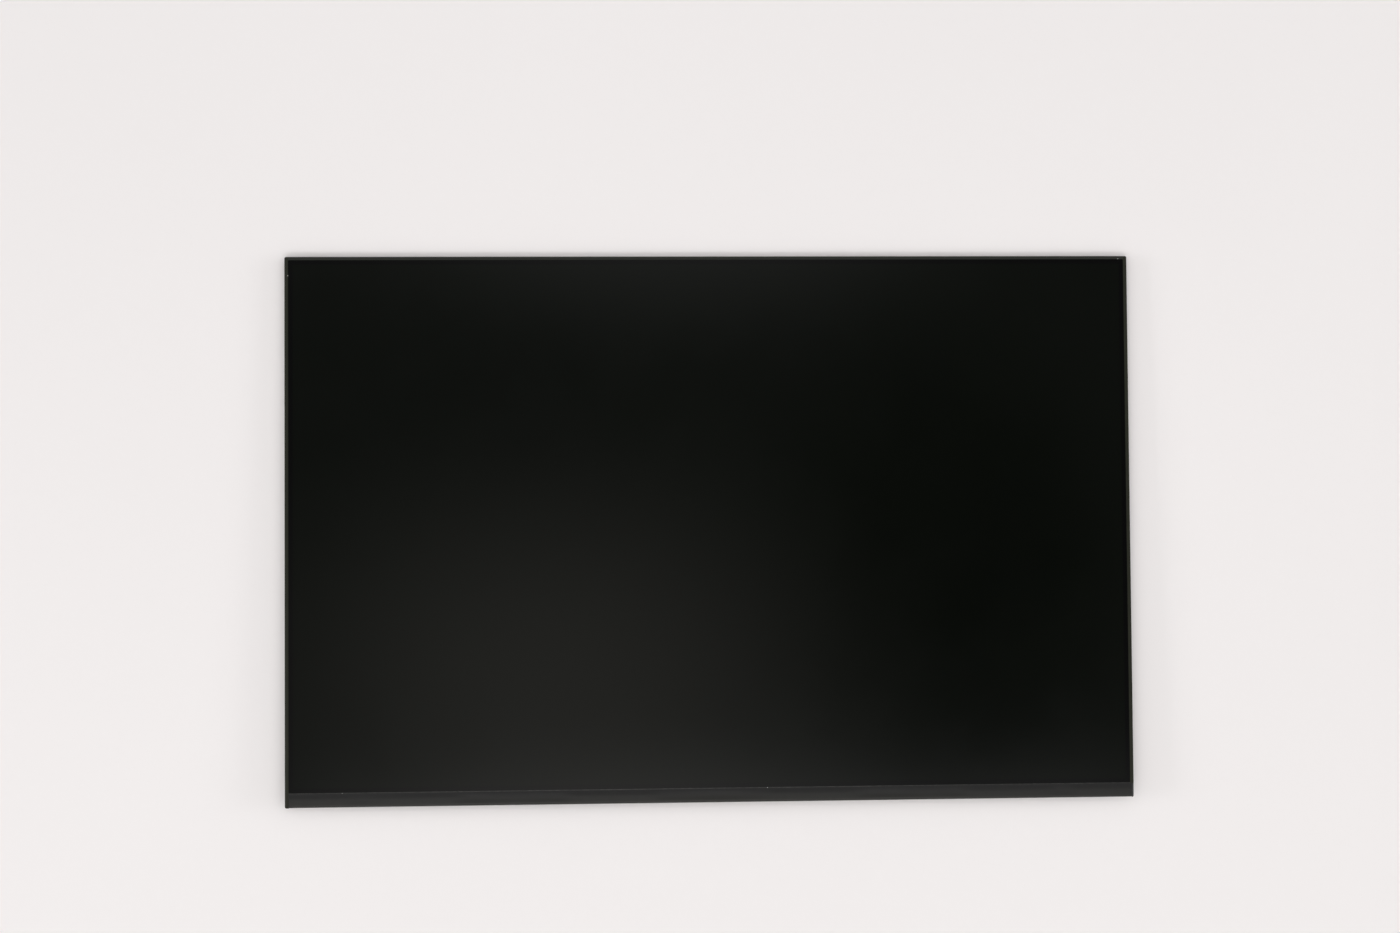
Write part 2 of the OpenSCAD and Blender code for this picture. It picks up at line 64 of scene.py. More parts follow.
def arc(cx, cy, r, a0, a1, steps):
    """Points of an arc between two angles in degrees."""
    angles = [math.radians(a0 + (a1 - a0) * i / steps) for i in range(steps + 1)]
    return [(cx + r * math.cos(a), cy + r * math.sin(a)) for a in angles]


def circle(x, y, r, steps):
    """Points evenly round a circle."""
    angles = [2 * math.pi * i / steps for i in range(steps)]
    return [(x + r * math.cos(a), y + r * math.sin(a)) for a in angles]


def hump(x, at, half):
    """A rounded rise to 1 at one place, with almost nothing left at twice its half width."""
    return math.exp(-((x - at) / half) ** 2)


def waver(s, seed, size):
    """Small slow unevenness along a strip."""
    return size * (math.sin(s * 0.21 + seed) * 0.5 + math.sin(s * 0.083 + 2.1 * seed) * 0.35
                   + math.sin(s * 0.67 + 0.7 * seed) * 0.15)


def offsets(count, pitch):
    """Places of a centred row."""
    return [(i - (count - 1) / 2) * pitch for i in range(count)]


def loop_faces(n, row):
    """Faces between one closed row of n points and the next."""
    return [[row * n + i, row * n + (i + 1) % n, (row + 1) * n + (i + 1) % n, (row + 1) * n + i]
            for i in range(n)]


class Shape:
    """Vertices and faces of one piece, in millimetres, with a material number for each face."""

    def __init__(self):
        self.verts, self.faces, self.marks = [], [], []

    def add(self, verts, faces, marks=0):
        base = len(self.verts)
        self.verts += [tuple(v) for v in verts]
        self.faces += [[base + i for i in f] for f in faces]
        self.marks += marks if isinstance(marks, list) else [marks] * len(faces)

    def prism(self, outline, z0, z1, mark=0, side=None):
        """Upright prism on an outline that runs counterclockwise."""
        n = len(outline)
        verts = [(x, y, z0) for x, y in outline] + [(x, y, z1) for x, y in outline]
        faces = [list(range(n))[::-1], list(range(n, 2 * n))] + loop_faces(n, 0)
        self.add(verts, faces, [mark, mark] + [mark if side is None else side] * n)

    def block(self, corner, opposite, mark=0):
        """Block between two opposite corners, given in either order."""
        (x0, x1), (y0, y1), (z0, z1) = (sorted(pair) for pair in zip(corner, opposite))
        self.prism([(x0, y0), (x1, y0), (x1, y1), (x0, y1)], z0, z1, mark)

    def disc(self, x, y, r, z0, z1, mark=0, steps=16):
        self.prism(circle(x, y, r, steps), z0, z1, mark)

    def wedge(self, x, y, dx, dy, half, z, h, mark=0):
        """Solder fillet: full height at (x, y), running out to nothing at (x + dx, y + dy)."""
        length = math.hypot(dx, dy)
        sx, sy = -dy / length * half, dx / length * half
        foot = [(x + dx * k, y + dy * k) for k in (0.0, 0.35, 1.0)]
        high = [h, h * 0.38, 0.0]
        verts = []
        for (px, py), rise in zip(foot, high):
            verts += [(px - sx, py - sy, z), (px + sx, py + sy, z), (px - sx, py - sy, z - rise - 0.01),
                      (px + sx, py + sy, z - rise - 0.01)]
        faces = [[0, 1, 3, 2], [8, 10, 11, 9]]
        for k in (0, 4):
            faces += [[k, k + 4, k + 5, k + 1], [k + 2, k + 3, k + 7, k + 6], [k, k + 2, k + 6, k + 4],
                      [k + 1, k + 5, k + 7, k + 3]]
        self.add(verts, faces, mark)

    def ribbon(self, points, width, z0, z1, mark=0):
        """Flat track of an even width along a line of points."""
        left, right = [], []
        for i, p in enumerate(points):
            a = Vector(p) - Vector(points[i - 1]) if i else Vector(points[1]) - Vector(p)
            b = Vector(points[i + 1]) - Vector(p) if i + 1 < len(points) else a
            a, b = a.normalized(), b.normalized()
            n = Vector((-(a.y + b.y), a.x + b.x))
            n *= width / 2 / max(0.3, n.dot(Vector((-a.y, a.x))))
            left.append((p[0] + n.x, p[1] + n.y))
            right.append((p[0] - n.x, p[1] - n.y))
        self.prism(right + left[::-1], z0, z1, mark)

    def strip(self, rows):
        """Closed sections of equal length, joined one to the next and capped."""
        n = len(rows[0])
        faces = [list(range(n))[::-1], [(len(rows) - 1) * n + i for i in range(n)]]
        for r in range(len(rows) - 1):
            faces += loop_faces(n, r)
        self.add([v for row in rows for v in row], faces)


def linked(name, data):
    """A new object in the scene."""
    obj = bpy.data.objects.new(name, data)
    bpy.context.scene.collection.objects.link(obj)
    return obj


def settle(obj):
    """Applies the modifiers to the mesh."""
    bpy.context.view_layer.update()
    mesh = bpy.data.meshes.new_from_object(obj.evaluated_get(bpy.context.evaluated_depsgraph_get()))
    obj.modifiers.clear()
    obj.data = mesh


def round_edges(obj, width, steps, angle):
    """Bevels the edges that are sharper than the angle, by a width in millimetres."""
    tool = obj.modifiers.new("edges", "BEVEL")
    tool.width, tool.segments, tool.limit_method = width * MM, steps, "ANGLE"
    tool.angle_limit = math.radians(angle)
    settle(obj)


def shade(obj, angle):
    """Smooth shading, with edges sharper than the angle kept sharp."""
    obj.data.shade_smooth()
    obj.data.set_sharp_from_angle(angle=math.radians(angle))


def weld(bm):
    """Merges points that coincide, and opens the walls where two blocks of one piece share a face."""
    same = bmesh.ops.find_doubles(bm, verts=bm.verts, dist=1e-7)["targetmap"]
    seen, shared = {}, set()
    for face in bm.faces:
        corners = frozenset(same.get(v, v) for v in face.verts)
        if corners in seen:
            shared.update((face, seen[corners]))
        seen[corners] = face
    bmesh.ops.delete(bm, geom=list(shared), context="FACES_ONLY")
    bmesh.ops.remove_doubles(bm, verts=bm.verts, dist=1e-7)
    bmesh.ops.delete(bm, geom=[edge for edge in bm.edges if not edge.link_faces], context="EDGES")


def piece(name, shape, materials, replaces=(), bevel=0.0, steps=2, smooth=35.0, merge=True):
    """Makes a shape into a visible piece on the root body, and returns its object."""
    mesh = bpy.data.meshes.new(name)
    mesh.from_pydata([Vector(v) * MM for v in shape.verts], [], shape.faces)
    for face, mark in zip(mesh.polygons, shape.marks):
        face.material_index = mark
    obj = linked(name, mesh)
    for material in materials:
        mesh.materials.append(material)
    bm = bmesh.new()
    bm.from_mesh(mesh)
    if merge:
        weld(bm)
    bmesh.ops.recalc_face_normals(bm, faces=bm.faces)
    bm.to_mesh(mesh)
    bm.free()
    if bevel:
        round_edges(obj, bevel, steps, 40)
    shade(obj, smooth)
    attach(obj, "root")
    if replaces:
        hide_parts(*replaces)
    return obj


def softened(solid, name, material, bevel):
    """A copy of a solid's mesh with its edges rounded, which stands for it."""
    shape = Shape()
    source = frame["nodes"][solid].data
    shape.add([v.co / MM for v in source.vertices], [list(p.vertices) for p in source.polygons])
    obj = piece(name, shape, [material])
    bm = bmesh.new()
    bm.from_mesh(obj.data)
    bmesh.ops.dissolve_limit(bm, angle_limit=math.radians(1), verts=bm.verts, edges=bm.edges)
    bm.to_mesh(obj.data)
    bm.free()
    round_edges(obj, bevel, 2, 30)
    shade(obj, 40)
    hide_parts(solid)


def grid_face(n, row, i):
    """One face of a grid whose rows hold n points."""
    return [row * n + i, row * n + i + 1, (row + 1) * n + i + 1, (row + 1) * n + i]


def sheet(name, verts, faces, material, solid, thickness, way, above=-1.0):
    """Thin sheet from its outer face. Above a height in metres, it faces up (way 1) or down (way -1)."""
    shape = Shape()
    shape.add(verts, faces)
    obj = piece(name, shape, [material], [solid])
    bm = bmesh.new()
    bm.from_mesh(obj.data)
    bmesh.ops.delete(bm, geom=[v for v in bm.verts if not v.link_faces], context="VERTS")
    if way * sum(f.normal.z for f in bm.faces if f.calc_center_median().z > above) < 0:
        bmesh.ops.reverse_faces(bm, faces=bm.faces)
    bm.to_mesh(obj.data)
    bm.free()
    tool = obj.modifiers.new("thickness", "SOLIDIFY")
    tool.thickness, tool.offset = thickness * MM, -1
    settle(obj)
    shade(obj, 50)


# Materials

def node(tree, kind, settings=None, **inputs):
    """A shader node. An input goes by its name with _ for a space, or by its number, as in i0."""
    made = tree.nodes.new("ShaderNode" + kind)
    for key, value in (settings or {}).items():
        setattr(made, key, value)
    for key, value in inputs.items():
        numbered = key[0] == "i" and key[1:].isdigit()
        socket = made.inputs[int(key[1:]) if numbered else key.replace("_", " ")]
        if isinstance(value, bpy.types.NodeSocket):
            tree.links.new(value, socket)
        else:
            socket.default_value = value
    return made


def maths(tree, operation, *values, kind="Math"):
    """Result of a Math or VectorMath node."""
    inputs = {"i%d" % i: value for i, value in enumerate(values)}
    return node(tree, kind, {"operation": operation}, **inputs).outputs[0]


def ramp(tree, value, start, end, low=0.0, high=1.0, smooth=False):
    """Goes from low to high as the value goes from start to end."""
    settings = {"interpolation_type": "SMOOTHSTEP"} if smooth else None
    return node(tree, "MapRange", settings, Value=value, From_Min=start, From_Max=end, To_Min=low,
                To_Max=high).outputs[0]


def noise(tree, place, scale, detail, **more):
    return node(tree, "TexNoise", Vector=place, Scale=scale, Detail=detail, **more).outputs["Fac"]


def mapped(tree, place, **how):
    return node(tree, "Mapping", Vector=place, **how).outputs[0]


def mixed(tree, factor, a, b):
    return node(tree, "Mix", {"data_type": "RGBA"}, i0=factor, i6=a, i7=b).outputs[2]


def rgba(colour):
    return (*colour, 1.0)


def surface(name, colour, other=None, patch=60.0, rough=(0.4, 0.5), grain=3000.0, height=3e-6,
            stretch=(1, 1, 1), metallic=0.0, ior=1.45, detail=4.0):
    """Principled surface with cloudy colour, cloudy roughness and a fine grain in its bump."""
    made = bpy.data.materials.new(name)
    made.use_nodes = True
    tree = made.node_tree
    shader = tree.nodes["Principled BSDF"]
    shader.inputs["Metallic"].default_value = metallic
    shader.inputs["IOR"].default_value = ior
    spread = mapped(tree, node(tree, "TexCoord").outputs["Object"], Scale=stretch)
    cloud = ramp(tree, noise(tree, spread, patch, detail), 0.3, 0.7)
    second = other or [c * 0.85 for c in colour]
    tree.links.new(mixed(tree, cloud, rgba(colour), rgba(second)), shader.inputs["Base Color"])
    veil = noise(tree, spread, patch * 2.7, 3.0)
    tree.links.new(ramp(tree, veil, 0.3, 0.7, *rough), shader.inputs["Roughness"])
    bump = node(tree, "Bump", Height=noise(tree, spread, grain, 2.0), Distance=height, Strength=1.0)
    tree.links.new(bump.outputs[0], shader.inputs["Normal"])
    return made


def parts_of(material):
    """The material's tree, its shader and its object coordinates."""
    tree = material.node_tree
    return tree, tree.nodes["Principled BSDF"], tree.nodes["Texture Coordinate"].outputs["Object"]


def lay_over(material, colour, factor):
    """Mixes one more colour over the material's own."""
    tree, shader, _ = parts_of(material)
    base = shader.inputs["Base Color"]
    tree.links.new(mixed(tree, factor, base.links[0].from_socket, rgba(colour)), base)


def screen_finish():
    """Matt dark polarizer: a faint step of tone at the edge of the picture area, and an anti-glare grain."""
    made = surface("matt_polarizer", (0.0019, 0.0026, 0.0016), (0.0015, 0.0021, 0.0013), patch=14.0,
                   rough=(0.09, 0.115), grain=9000.0, height=2.2e-7)
    tree, shader, place = parts_of(made)
    picture_x, picture_y, centre_y, fade = 0.15075, 0.09420, 0.0021, 0.00015
    axes = node(tree, "SeparateXYZ", Vector=place)
    across = maths(tree, "ABSOLUTE", axes.outputs[0])
    up = maths(tree, "ABSOLUTE", maths(tree, "SUBTRACT", axes.outputs[1], centre_y))
    inside = maths(tree, "MULTIPLY", ramp(tree, across, picture_x + fade, picture_x),
                   ramp(tree, up, picture_y + fade, picture_y))
    base = shader.inputs["Base Color"]
    tree.links.new(mixed(tree, inside, rgba((0.0009, 0.0009, 0.0009)), base.links[0].from_socket), base)
    return made


def tape_finish(name, colour, other, rough=(0.4, 0.5), ior=1.37):
    """Black polyester tape: satin, with faint lint-grey scuffs."""
    made = surface(name, colour, other, patch=220.0, rough=rough, grain=2600.0, height=2.5e-6, ior=ior)
    tree, _, place = parts_of(made)
    scuff = ramp(tree, noise(tree, place, 900.0, 6.0, Roughness=0.75), 0.66, 0.78, 0.0, 0.3)
    lay_over(made, (0.07, 0.068, 0.06), scuff)
    return made


def driver_tape_with_painted_fold_sheen():
    """The same tape over the chips, painted paler towards its fold: a painted sheen where its rounding
    catches the light.
    """
    made = tape_finish("driver_tape", (0.0065, 0.0063, 0.0062), (0.0050, 0.0049, 0.0048), (0.42, 0.52), 1.4)
    tree, _, place = parts_of(made)
    up = node(tree, "SeparateXYZ", Vector=place).outputs[1]
    # Painted highlight: a lighter colour is mixed in towards the fold and stands in for light on the tape's
    # rounding.
    lay_over(made, (0.018, 0.0175, 0.0140), ramp(tree, up, -0.0950, -0.0990, 0.0, 0.7))
    return made


def plate_finish():
    """Rolled sheet metal: grain along X, a few fine scratches and dull handling marks."""
    made = surface("plate_metal", (0.60, 0.605, 0.61), (0.55, 0.555, 0.565), patch=9.0, rough=(0.3, 0.42),
                   grain=1200.0, height=1.2e-6, stretch=(0.05, 1.6, 1.0), metallic=1.0, detail=8.0)
    tree, shader, place = parts_of(made)
    marks = ramp(tree, noise(tree, place, 22.0, 5.0, Roughness=0.6), 0.5, 0.75, 0.0, 0.16)
    dull = shader.inputs["Roughness"]
    tree.links.new(maths(tree, "ADD", dull.links[0].from_socket, marks), dull)
    brush = noise(tree, mapped(tree, place, Scale=(14.0, 2200.0, 1.0)), 1.0, 3.0, Roughness=0.7)
    lay_over(made, (0.66, 0.665, 0.67), ramp(tree, brush, 0.35, 0.7))
    scratches = []
    for turn, shift in ((0.35, 0.0), (-0.9, 3.0), (1.9, 7.0)):
        lines = mapped(tree, place, Rotation=(0, 0, turn), Location=(shift, 0, 0), Scale=(55.0, 4200.0, 1.0))
        scratches.append(ramp(tree, noise(tree, lines, 1.0, 1.0), 0.75, 0.79, 0.0, 0.5))
    first, second, third = scratches
    scratch = maths(tree, "MAXIMUM", maths(tree, "MAXIMUM", first, second), third)
    lay_over(made, (0.80, 0.81, 0.82), scratch)
    bump = tree.nodes["Bump"]
    wide = node(tree, "Bump", Height=noise(tree, place, 16.0, 1.0), Distance=1.2e-4, Strength=1.0)
    tree.links.new(wide.outputs[0], bump.inputs["Normal"])
    return made


screen = screen_finish()
edge_tape = tape_finish("edge_tape", (0.0105, 0.0115, 0.0045), (0.008, 0.0088, 0.0032))
# Painted highlight: the top tape is the side tapes' tape in a lighter colour, painted as if lit from above.
top_tape_painted_lighter = tape_finish("top_tape", (0.0150, 0.0165, 0.0125), (0.0125, 0.0140, 0.0105))
tape = driver_tape_with_painted_fold_sheen()
plate_metal = plate_finish()
lint = surface("lint", (0.62, 0.63, 0.61), (0.5, 0.51, 0.5), patch=4000.0, rough=(0.6, 0.8), grain=20000.0)
bare_glass = surface("bare_glass", (0.02, 0.021, 0.02), (0.05, 0.05, 0.047), patch=700.0, rough=(0.08, 0.2),
                     grain=4000.0, height=3e-7, ior=1.52)
array_glass = surface("array_glass", (0.12, 0.15, 0.14), (0.09, 0.115, 0.105), patch=300.0,
                      rough=(0.05, 0.12), grain=6000.0, height=2e-7, ior=1.52)
sealant = surface("sealant", (0.55, 0.54, 0.48), patch=900.0, rough=(0.45, 0.6), grain=5000.0)
crystal = surface("liquid_crystal", (0.3, 0.32, 0.31), patch=80.0, rough=(0.1, 0.2), grain=8000.0,
                  height=1e-7)
rear_film = surface("rear_polarizer", (0.035, 0.035, 0.04), patch=60.0, rough=(0.2, 0.3), grain=8000.0,
                    height=4e-7)
moulded = surface("frame_plastic", (0.022, 0.022, 0.023), (0.03, 0.03, 0.03), patch=240.0,
                  rough=(0.42, 0.58), grain=4200.0, height=6e-6, ior=1.5)
prism_film = surface("optical_film", (0.72, 0.74, 0.76), patch=50.0, rough=(0.22, 0.32), grain=9000.0,
                     height=1.5e-6, stretch=(0.02, 1, 1))
guide = surface("light_guide", (0.78, 0.84, 0.86), patch=70.0, rough=(0.06, 0.14), grain=3500.0, height=8e-7)
white_film = surface("white_film", (0.85, 0.85, 0.84), patch=60.0, rough=(0.5, 0.6), grain=5000.0,
                     height=1e-6)
lamp_film = surface("lamp_strip", (0.72, 0.66, 0.5), (0.6, 0.53, 0.38), patch=500.0, rough=(0.35, 0.5))
bond = surface("bond", (0.04, 0.04, 0.04), patch=300.0, rough=(0.5, 0.65), grain=2500.0)
mask_green = surface("solder_mask", (0.012, 0.085, 0.045), (0.008, 0.068, 0.036), patch=260.0,
                     rough=(0.2, 0.32), grain=5200.0, height=3.5e-6, ior=1.5)
track_green = surface("masked_copper", (0.03, 0.16, 0.075), (0.022, 0.13, 0.06), patch=400.0,
                      rough=(0.2, 0.3), grain=5200.0, height=3e-6, ior=1.5)
laminate = surface("board_edge", (0.33, 0.34, 0.17), (0.24, 0.26, 0.13), patch=1500.0, rough=(0.6, 0.8),
                   grain=7000.0, height=1e-5, stretch=(1, 1, 6))
hole_dark = surface("via_hole", (0.01, 0.03, 0.02), patch=900.0, rough=(0.4, 0.6))
ink_white = surface("legend_ink", (0.78, 0.78, 0.74), (0.68, 0.68, 0.64), patch=1600.0, rough=(0.5, 0.65),
                    grain=9000.0, height=3e-6)
epoxy = surface("chip_epoxy", (0.028, 0.028, 0.029), (0.038, 0.038, 0.039), patch=500.0, rough=(0.5, 0.65),
                grain=6500.0, height=9e-6, ior=1.52)
solder = surface("solder", (0.72, 0.72, 0.70), (0.58, 0.585, 0.58), patch=1400.0, rough=(0.2, 0.38),
                 grain=3800.0, height=6e-6, metallic=1.0)
gold = surface("gold_plating", (0.86, 0.62, 0.28), (0.78, 0.54, 0.22), patch=1200.0, rough=(0.18, 0.3),
               grain=6000.0, height=2e-6, metallic=1.0)
driver_silicon = surface("driver_silicon", (0.16, 0.165, 0.18), patch=800.0, rough=(0.12, 0.2), grain=6000.0,
                         height=4e-7)
amber = surface("flex", (0.42, 0.19, 0.035), (0.34, 0.15, 0.03), patch=300.0, rough=(0.25, 0.38),
                grain=3000.0, height=2e-6)
ferrite = surface("ferrite", (0.075, 0.077, 0.082), (0.055, 0.056, 0.06), patch=900.0, rough=(0.55, 0.75),
                  grain=5200.0, height=1.6e-5)
ceramic_tan = surface("capacitor", (0.36, 0.25, 0.15), (0.30, 0.205, 0.12), patch=900.0, rough=(0.4, 0.55),
                      grain=6000.0, height=4e-6)
ceramic_grey = surface("capacitor_grey", (0.22, 0.2, 0.19), (0.17, 0.155, 0.145), patch=900.0,
                       rough=(0.4, 0.55), grain=6000.0, height=4e-6)
resin = surface("socket_resin", (0.74, 0.69, 0.56), (0.68, 0.63, 0.5), patch=500.0, rough=(0.4, 0.52),
                grain=4200.0, height=5e-6)
shell_metal = surface("socket_metal", (0.68, 0.68, 0.67), (0.6, 0.6, 0.6), patch=260.0, rough=(0.2, 0.32),
                      grain=3500.0, height=1.5e-6, stretch=(0.15, 1, 1), metallic=1.0)
copper = surface("copper_foil", (0.80, 0.42, 0.26), (0.62, 0.31, 0.19), patch=180.0, rough=(0.26, 0.42),
                 grain=2600.0, height=7e-6, metallic=1.0, detail=6.0)

# The look of each solid, by the start of its name
FINISH = {
    "front_polarizer": screen, "colour_filter_glass": bare_glass, "cell_seal": sealant,
    "liquid_crystal": crystal, "array_glass": array_glass, "rear_polarizer": rear_film, "cell_tape": tape,
    "mould_frame": moulded, "brightness_film": prism_film, "upper_prism_film": prism_film,
    "lower_prism_film": prism_film, "diffuser_film": white_film, "light_guide": guide,
    "reflector_sheet": white_film, "lamp_strip": lamp_film, "back_plate": plate_metal, "board_bond": bond,
    "control_board": mask_green, "timing_controller": epoxy, "power_controller": epoxy,
    "level_shifter": epoxy, "lamp_driver": epoxy, "flash_memory": epoxy, "boost_inductor": ferrite,
    "supply_inductor": ferrite, "rectifier_diode": epoxy, "bulk_capacitor": ceramic_tan,
    "socket_housing": resin, "socket_shell": shell_metal, "edge_tape": edge_tape, "driver_tape": tape,
    "ground_tape": copper, "source_driver": driver_silicon, "panel_flex": amber,
}
for name, obj in frame["nodes"].items():
    look = next(FINISH[start] for start in FINISH if name.startswith(start))
    obj.data.materials.clear()
    obj.data.materials.append(look)


# Edge tapes

FOLD_R = 0.14
TAPE_TOP, TAPE_LOW = Z_GLASS + TAPE_T, Z_PLATE - TAPE_T
# How far a tape's front and rear edges wander
FRONT_WANDER, REAR_WANDER = 0.03, 0.12


def fold(shape, path, seed):
    """The wall of a tape with its two rounded folds. path is (point, inward direction) along the outline."""
    top_z, low_z, inner_r = TAPE_TOP - FOLD_R, TAPE_LOW + FOLD_R, FOLD_R - TAPE_T
    section = arc(FOLD_R, top_z, FOLD_R, 90, 180, 5) + arc(FOLD_R, low_z, FOLD_R, 180, 270, 5)
    section += arc(FOLD_R, low_z, inner_r, 270, 180, 5) + arc(FOLD_R, top_z, inner_r, 180, 90, 5)
    dent_z, dent_size = 3.0, 0.006
    rows = []
    run = 0.0
    for i, (p, d) in enumerate(path):
        if i:
            run += math.hypot(p[0] - path[i - 1][0][0], p[1] - path[i - 1][0][1])
        dent = dent_size + waver(run, seed, dent_size)
        row = []
        for u, z in section:
            k = u + dent * max(0.0, 1 - abs(z - dent_z))
            row.append((p[0] + d[0] * k, p[1] + d[1] * k, z))
        rows.append(row)
    shape.strip(rows)


def corner(side, way, a0, a1):
    """The outline round one corner, as points with their inward directions."""
    c = CORNER_R
    return [((side * (HALF_W - c + x), way * (HALF_H - c) + y), (-side * x / c, -y / c))
            for x, y in arc(0, 0, c, a0, a1, 6)[1:-1]]


def side_tape(word, side, low_y, seed, nicks):
    """Tape down one side: the fold round the outline, a narrow flange on the front and a wide one behind."""
    shape = Shape()
    corner_x, corner_y = side * (HALF_W - CORNER_R), HALF_H - CORNER_R
    flange_x, rear_x = side * (HALF_W - SIDE_FLANGE), side * (HALF_W - REAR_FLANGE)
    path = [((flange_x, HALF_H), (0, -1)), ((corner_x, HALF_H), (0, -1))] + corner(side, 1, 90, 0)
    full = low_y < -corner_y
    low = -corner_y if full else low_y
    steps = 48
    ys = [corner_y - i * (corner_y - low) / steps for i in range(steps + 1)]
    path += [((side * HALF_W, y), (-side, 0)) for y in ys]
    if full:
        path += corner(side, -1, 0, -90)
        path += [((corner_x, -HALF_H), (0, 1)), ((flange_x, -HALF_H), (0, 1))]
    fold(shape, path, seed)
    rim = [(p[0] + d[0] * FOLD_R, p[1] + d[1] * FOLD_R) for p, d in path]
    bottom, top = rim[-1][1], rim[0][1]
    cut_steps, nick_half = 140, 1.6
    for z0, z1, x_in, size, dents in ((Z_GLASS, TAPE_TOP, flange_x, FRONT_WANDER, nicks),
                                      (TAPE_LOW, Z_PLATE, rear_x, REAR_WANDER, ())):
        cut = []
        for i in range(cut_steps + 1):
            y = bottom + (top - bottom) * i / cut_steps
            edge = x_in + side * (0.5 * size + waver(y, seed + z0, size * 0.6))
            for at, depth in dents:
                edge -= side * depth * hump(y, at, nick_half)
            cut.append((edge, y))
        shape.prism(rim + cut, z0, z1)
    piece(word + "_edge_tape", shape, [edge_tape], ["edge_tape_" + word], smooth=50)


def top_tape():
    """Tape along the top, between the two side tapes: its wall and its flanges on the front and rear."""
    shape = Shape()
    front_x, rear_x = HALF_W - SIDE_FLANGE, HALF_W - REAR_FLANGE
    xs = [-front_x] + [-rear_x + 2 * rear_x * i / 80 for i in range(81)] + [front_x]
    fold(shape, [((x, HALF_H), (0, -1)) for x in xs], 2.2)
    cut_steps = 140
    for z0, z1, half, depth, size in ((Z_GLASS, TAPE_TOP, front_x, TOP_FLANGE, FRONT_WANDER),
                                      (TAPE_LOW, Z_PLATE, rear_x, REAR_FLANGE, REAR_WANDER)):
        line = [-half + 2 * half * i / cut_steps for i in range(cut_steps + 1)]
        cut = [(x, HALF_H - depth + 0.5 * size + waver(x, 5.0 + z0, 0.6 * size)) for x in line]
        rim = [(x, HALF_H - FOLD_R) for x in xs if abs(x) <= half]
        shape.prism(cut + rim[::-1], z0, z1)
    piece("top_edge_tape", shape, [top_tape_painted_lighter], ["edge_tape_top"], smooth=50)


# Tape over the driver chips

DRIVER_X = (-108.075, -36.025, 36.025, 108.075)
FLEX_HALF = 14.2
# How much of the edge's lift each of the first points across the tape takes
LIFTED = (1.0, 0.6, 0.15)


def driver_tape():
    """The tape's outer face as a grid, let down a little where nothing lies under it."""
    bend_y, bend_r = -98.09, 1.11
    line = [(-94.1, 4.17), (-94.25, 4.17), (-94.5, 4.17), (-95.0, 4.17), (-95.5, 4.17), (-95.9, 4.168),
            (-96.2, 4.15), (-96.6, 4.107), (-97.1, 4.055), (-97.6, 4.002)]
    line += arc(bend_y, 2.84, bend_r, 90, 180, 10) + arc(bend_y, 2.15, bend_r, 180, 270, 10)
    line += [(-97.2, 1.04), (-96.0, 1.04), (-95.2, 1.04), (-94.95, 1.09), (-94.7, 1.14), (-94.0, 1.14),
             (-93.4, 1.14)]
    xs = sorted(set([-152.42, 153.1, -OPEN_X, OPEN_X] + [-151.5 + i * 1.9 for i in range(160)]))
    # From this point across the tape, only its middle goes on to the rear
    stop = max(i for i, (y, z) in enumerate(line) if z >= 1.95) + 1
    verts, faces = [], []
    for x in xs:
        gap = min(abs(x - c) for c in DRIVER_X) - FLEX_HALF
        free = min(1.0, max(0.0, gap / 4)) * (1.0 if abs(x) < OPEN_X - 2 else 0.0)
        lift = 0.012 + 0.022 * hump(x, -150, 55) + 0.014 * hump(x, 120, 60) + waver(x, 8.0, 0.006)
        for i, (y, z) in enumerate(line):
            across = max(0.0, 1 - abs((y + 96.4) / 1.5) ** 2) if z > 3 else 0.0
            sag = free * across * (0.10 + waver(x, 1.0, 0.05)) + across * (0.008 + waver(x, 3.0, 0.008))
            edge = waver(x, 6.0, 0.02) - 0.02 if i == 0 else 0.0
            if i < len(LIFTED):
                sag -= lift * LIFTED[i]
            if i == stop and abs(x) > OPEN_X - 0.01:
                z = Z_PLATE
            verts.append((x, y + edge, z - sag))
    n = len(line)
    for r in range(len(xs) - 1):
        closed = abs(xs[r] + xs[r + 1]) / 2 > OPEN_X
        faces += [grid_face(n, r, i) for i in range(stop if closed else n - 1)]
    sheet("driver_cover_tape", verts, faces, tape, "driver_tape", TAPE_T, 1, 0.004)


def flecks():
    """A few specks of lint and chipped film that the tapes' edges have caught."""
    dice = random.Random(3)
    shape = Shape()
    count = 9
    for x, y, z, size in ((-152.45, 92.4, 4.21, 0.34), (19.6, -93.95, 4.17, 0.16),
                          (-133.4, -93.98, 4.17, 0.14), (150.6, 98.25, 4.17, 0.2)):
        outline = [(x + size * dice.uniform(0.55, 1.0) * cos, y + size * dice.uniform(0.35, 0.8) * sin)
                   for cos, sin in circle(0, 0, 1, count)]
        shape.prism(outline, z - 0.04, z + 0.03)
    piece("lint_flecks", shape, [lint], bevel=0.012)


side_tape("left", -1, -HALF_H, 1.3, [(61.0, 0.07), (3.0, -0.05), (-70.0, 0.05)])
side_tape("right", 1, -HALF_H + 5.1, 4.1, [(35.0, 0.05), (-22.0, -0.04)])
top_tape()
driver_tape()
flecks()


# Control board

def inset(d):
    """Height of a line that lies d millimetres in from the bottom edge."""
    return -HALF_H + d


BOARD_HALF, BOARD_LOW, BOARD_TOP = 131.0, inset(1.5), inset(14.0)
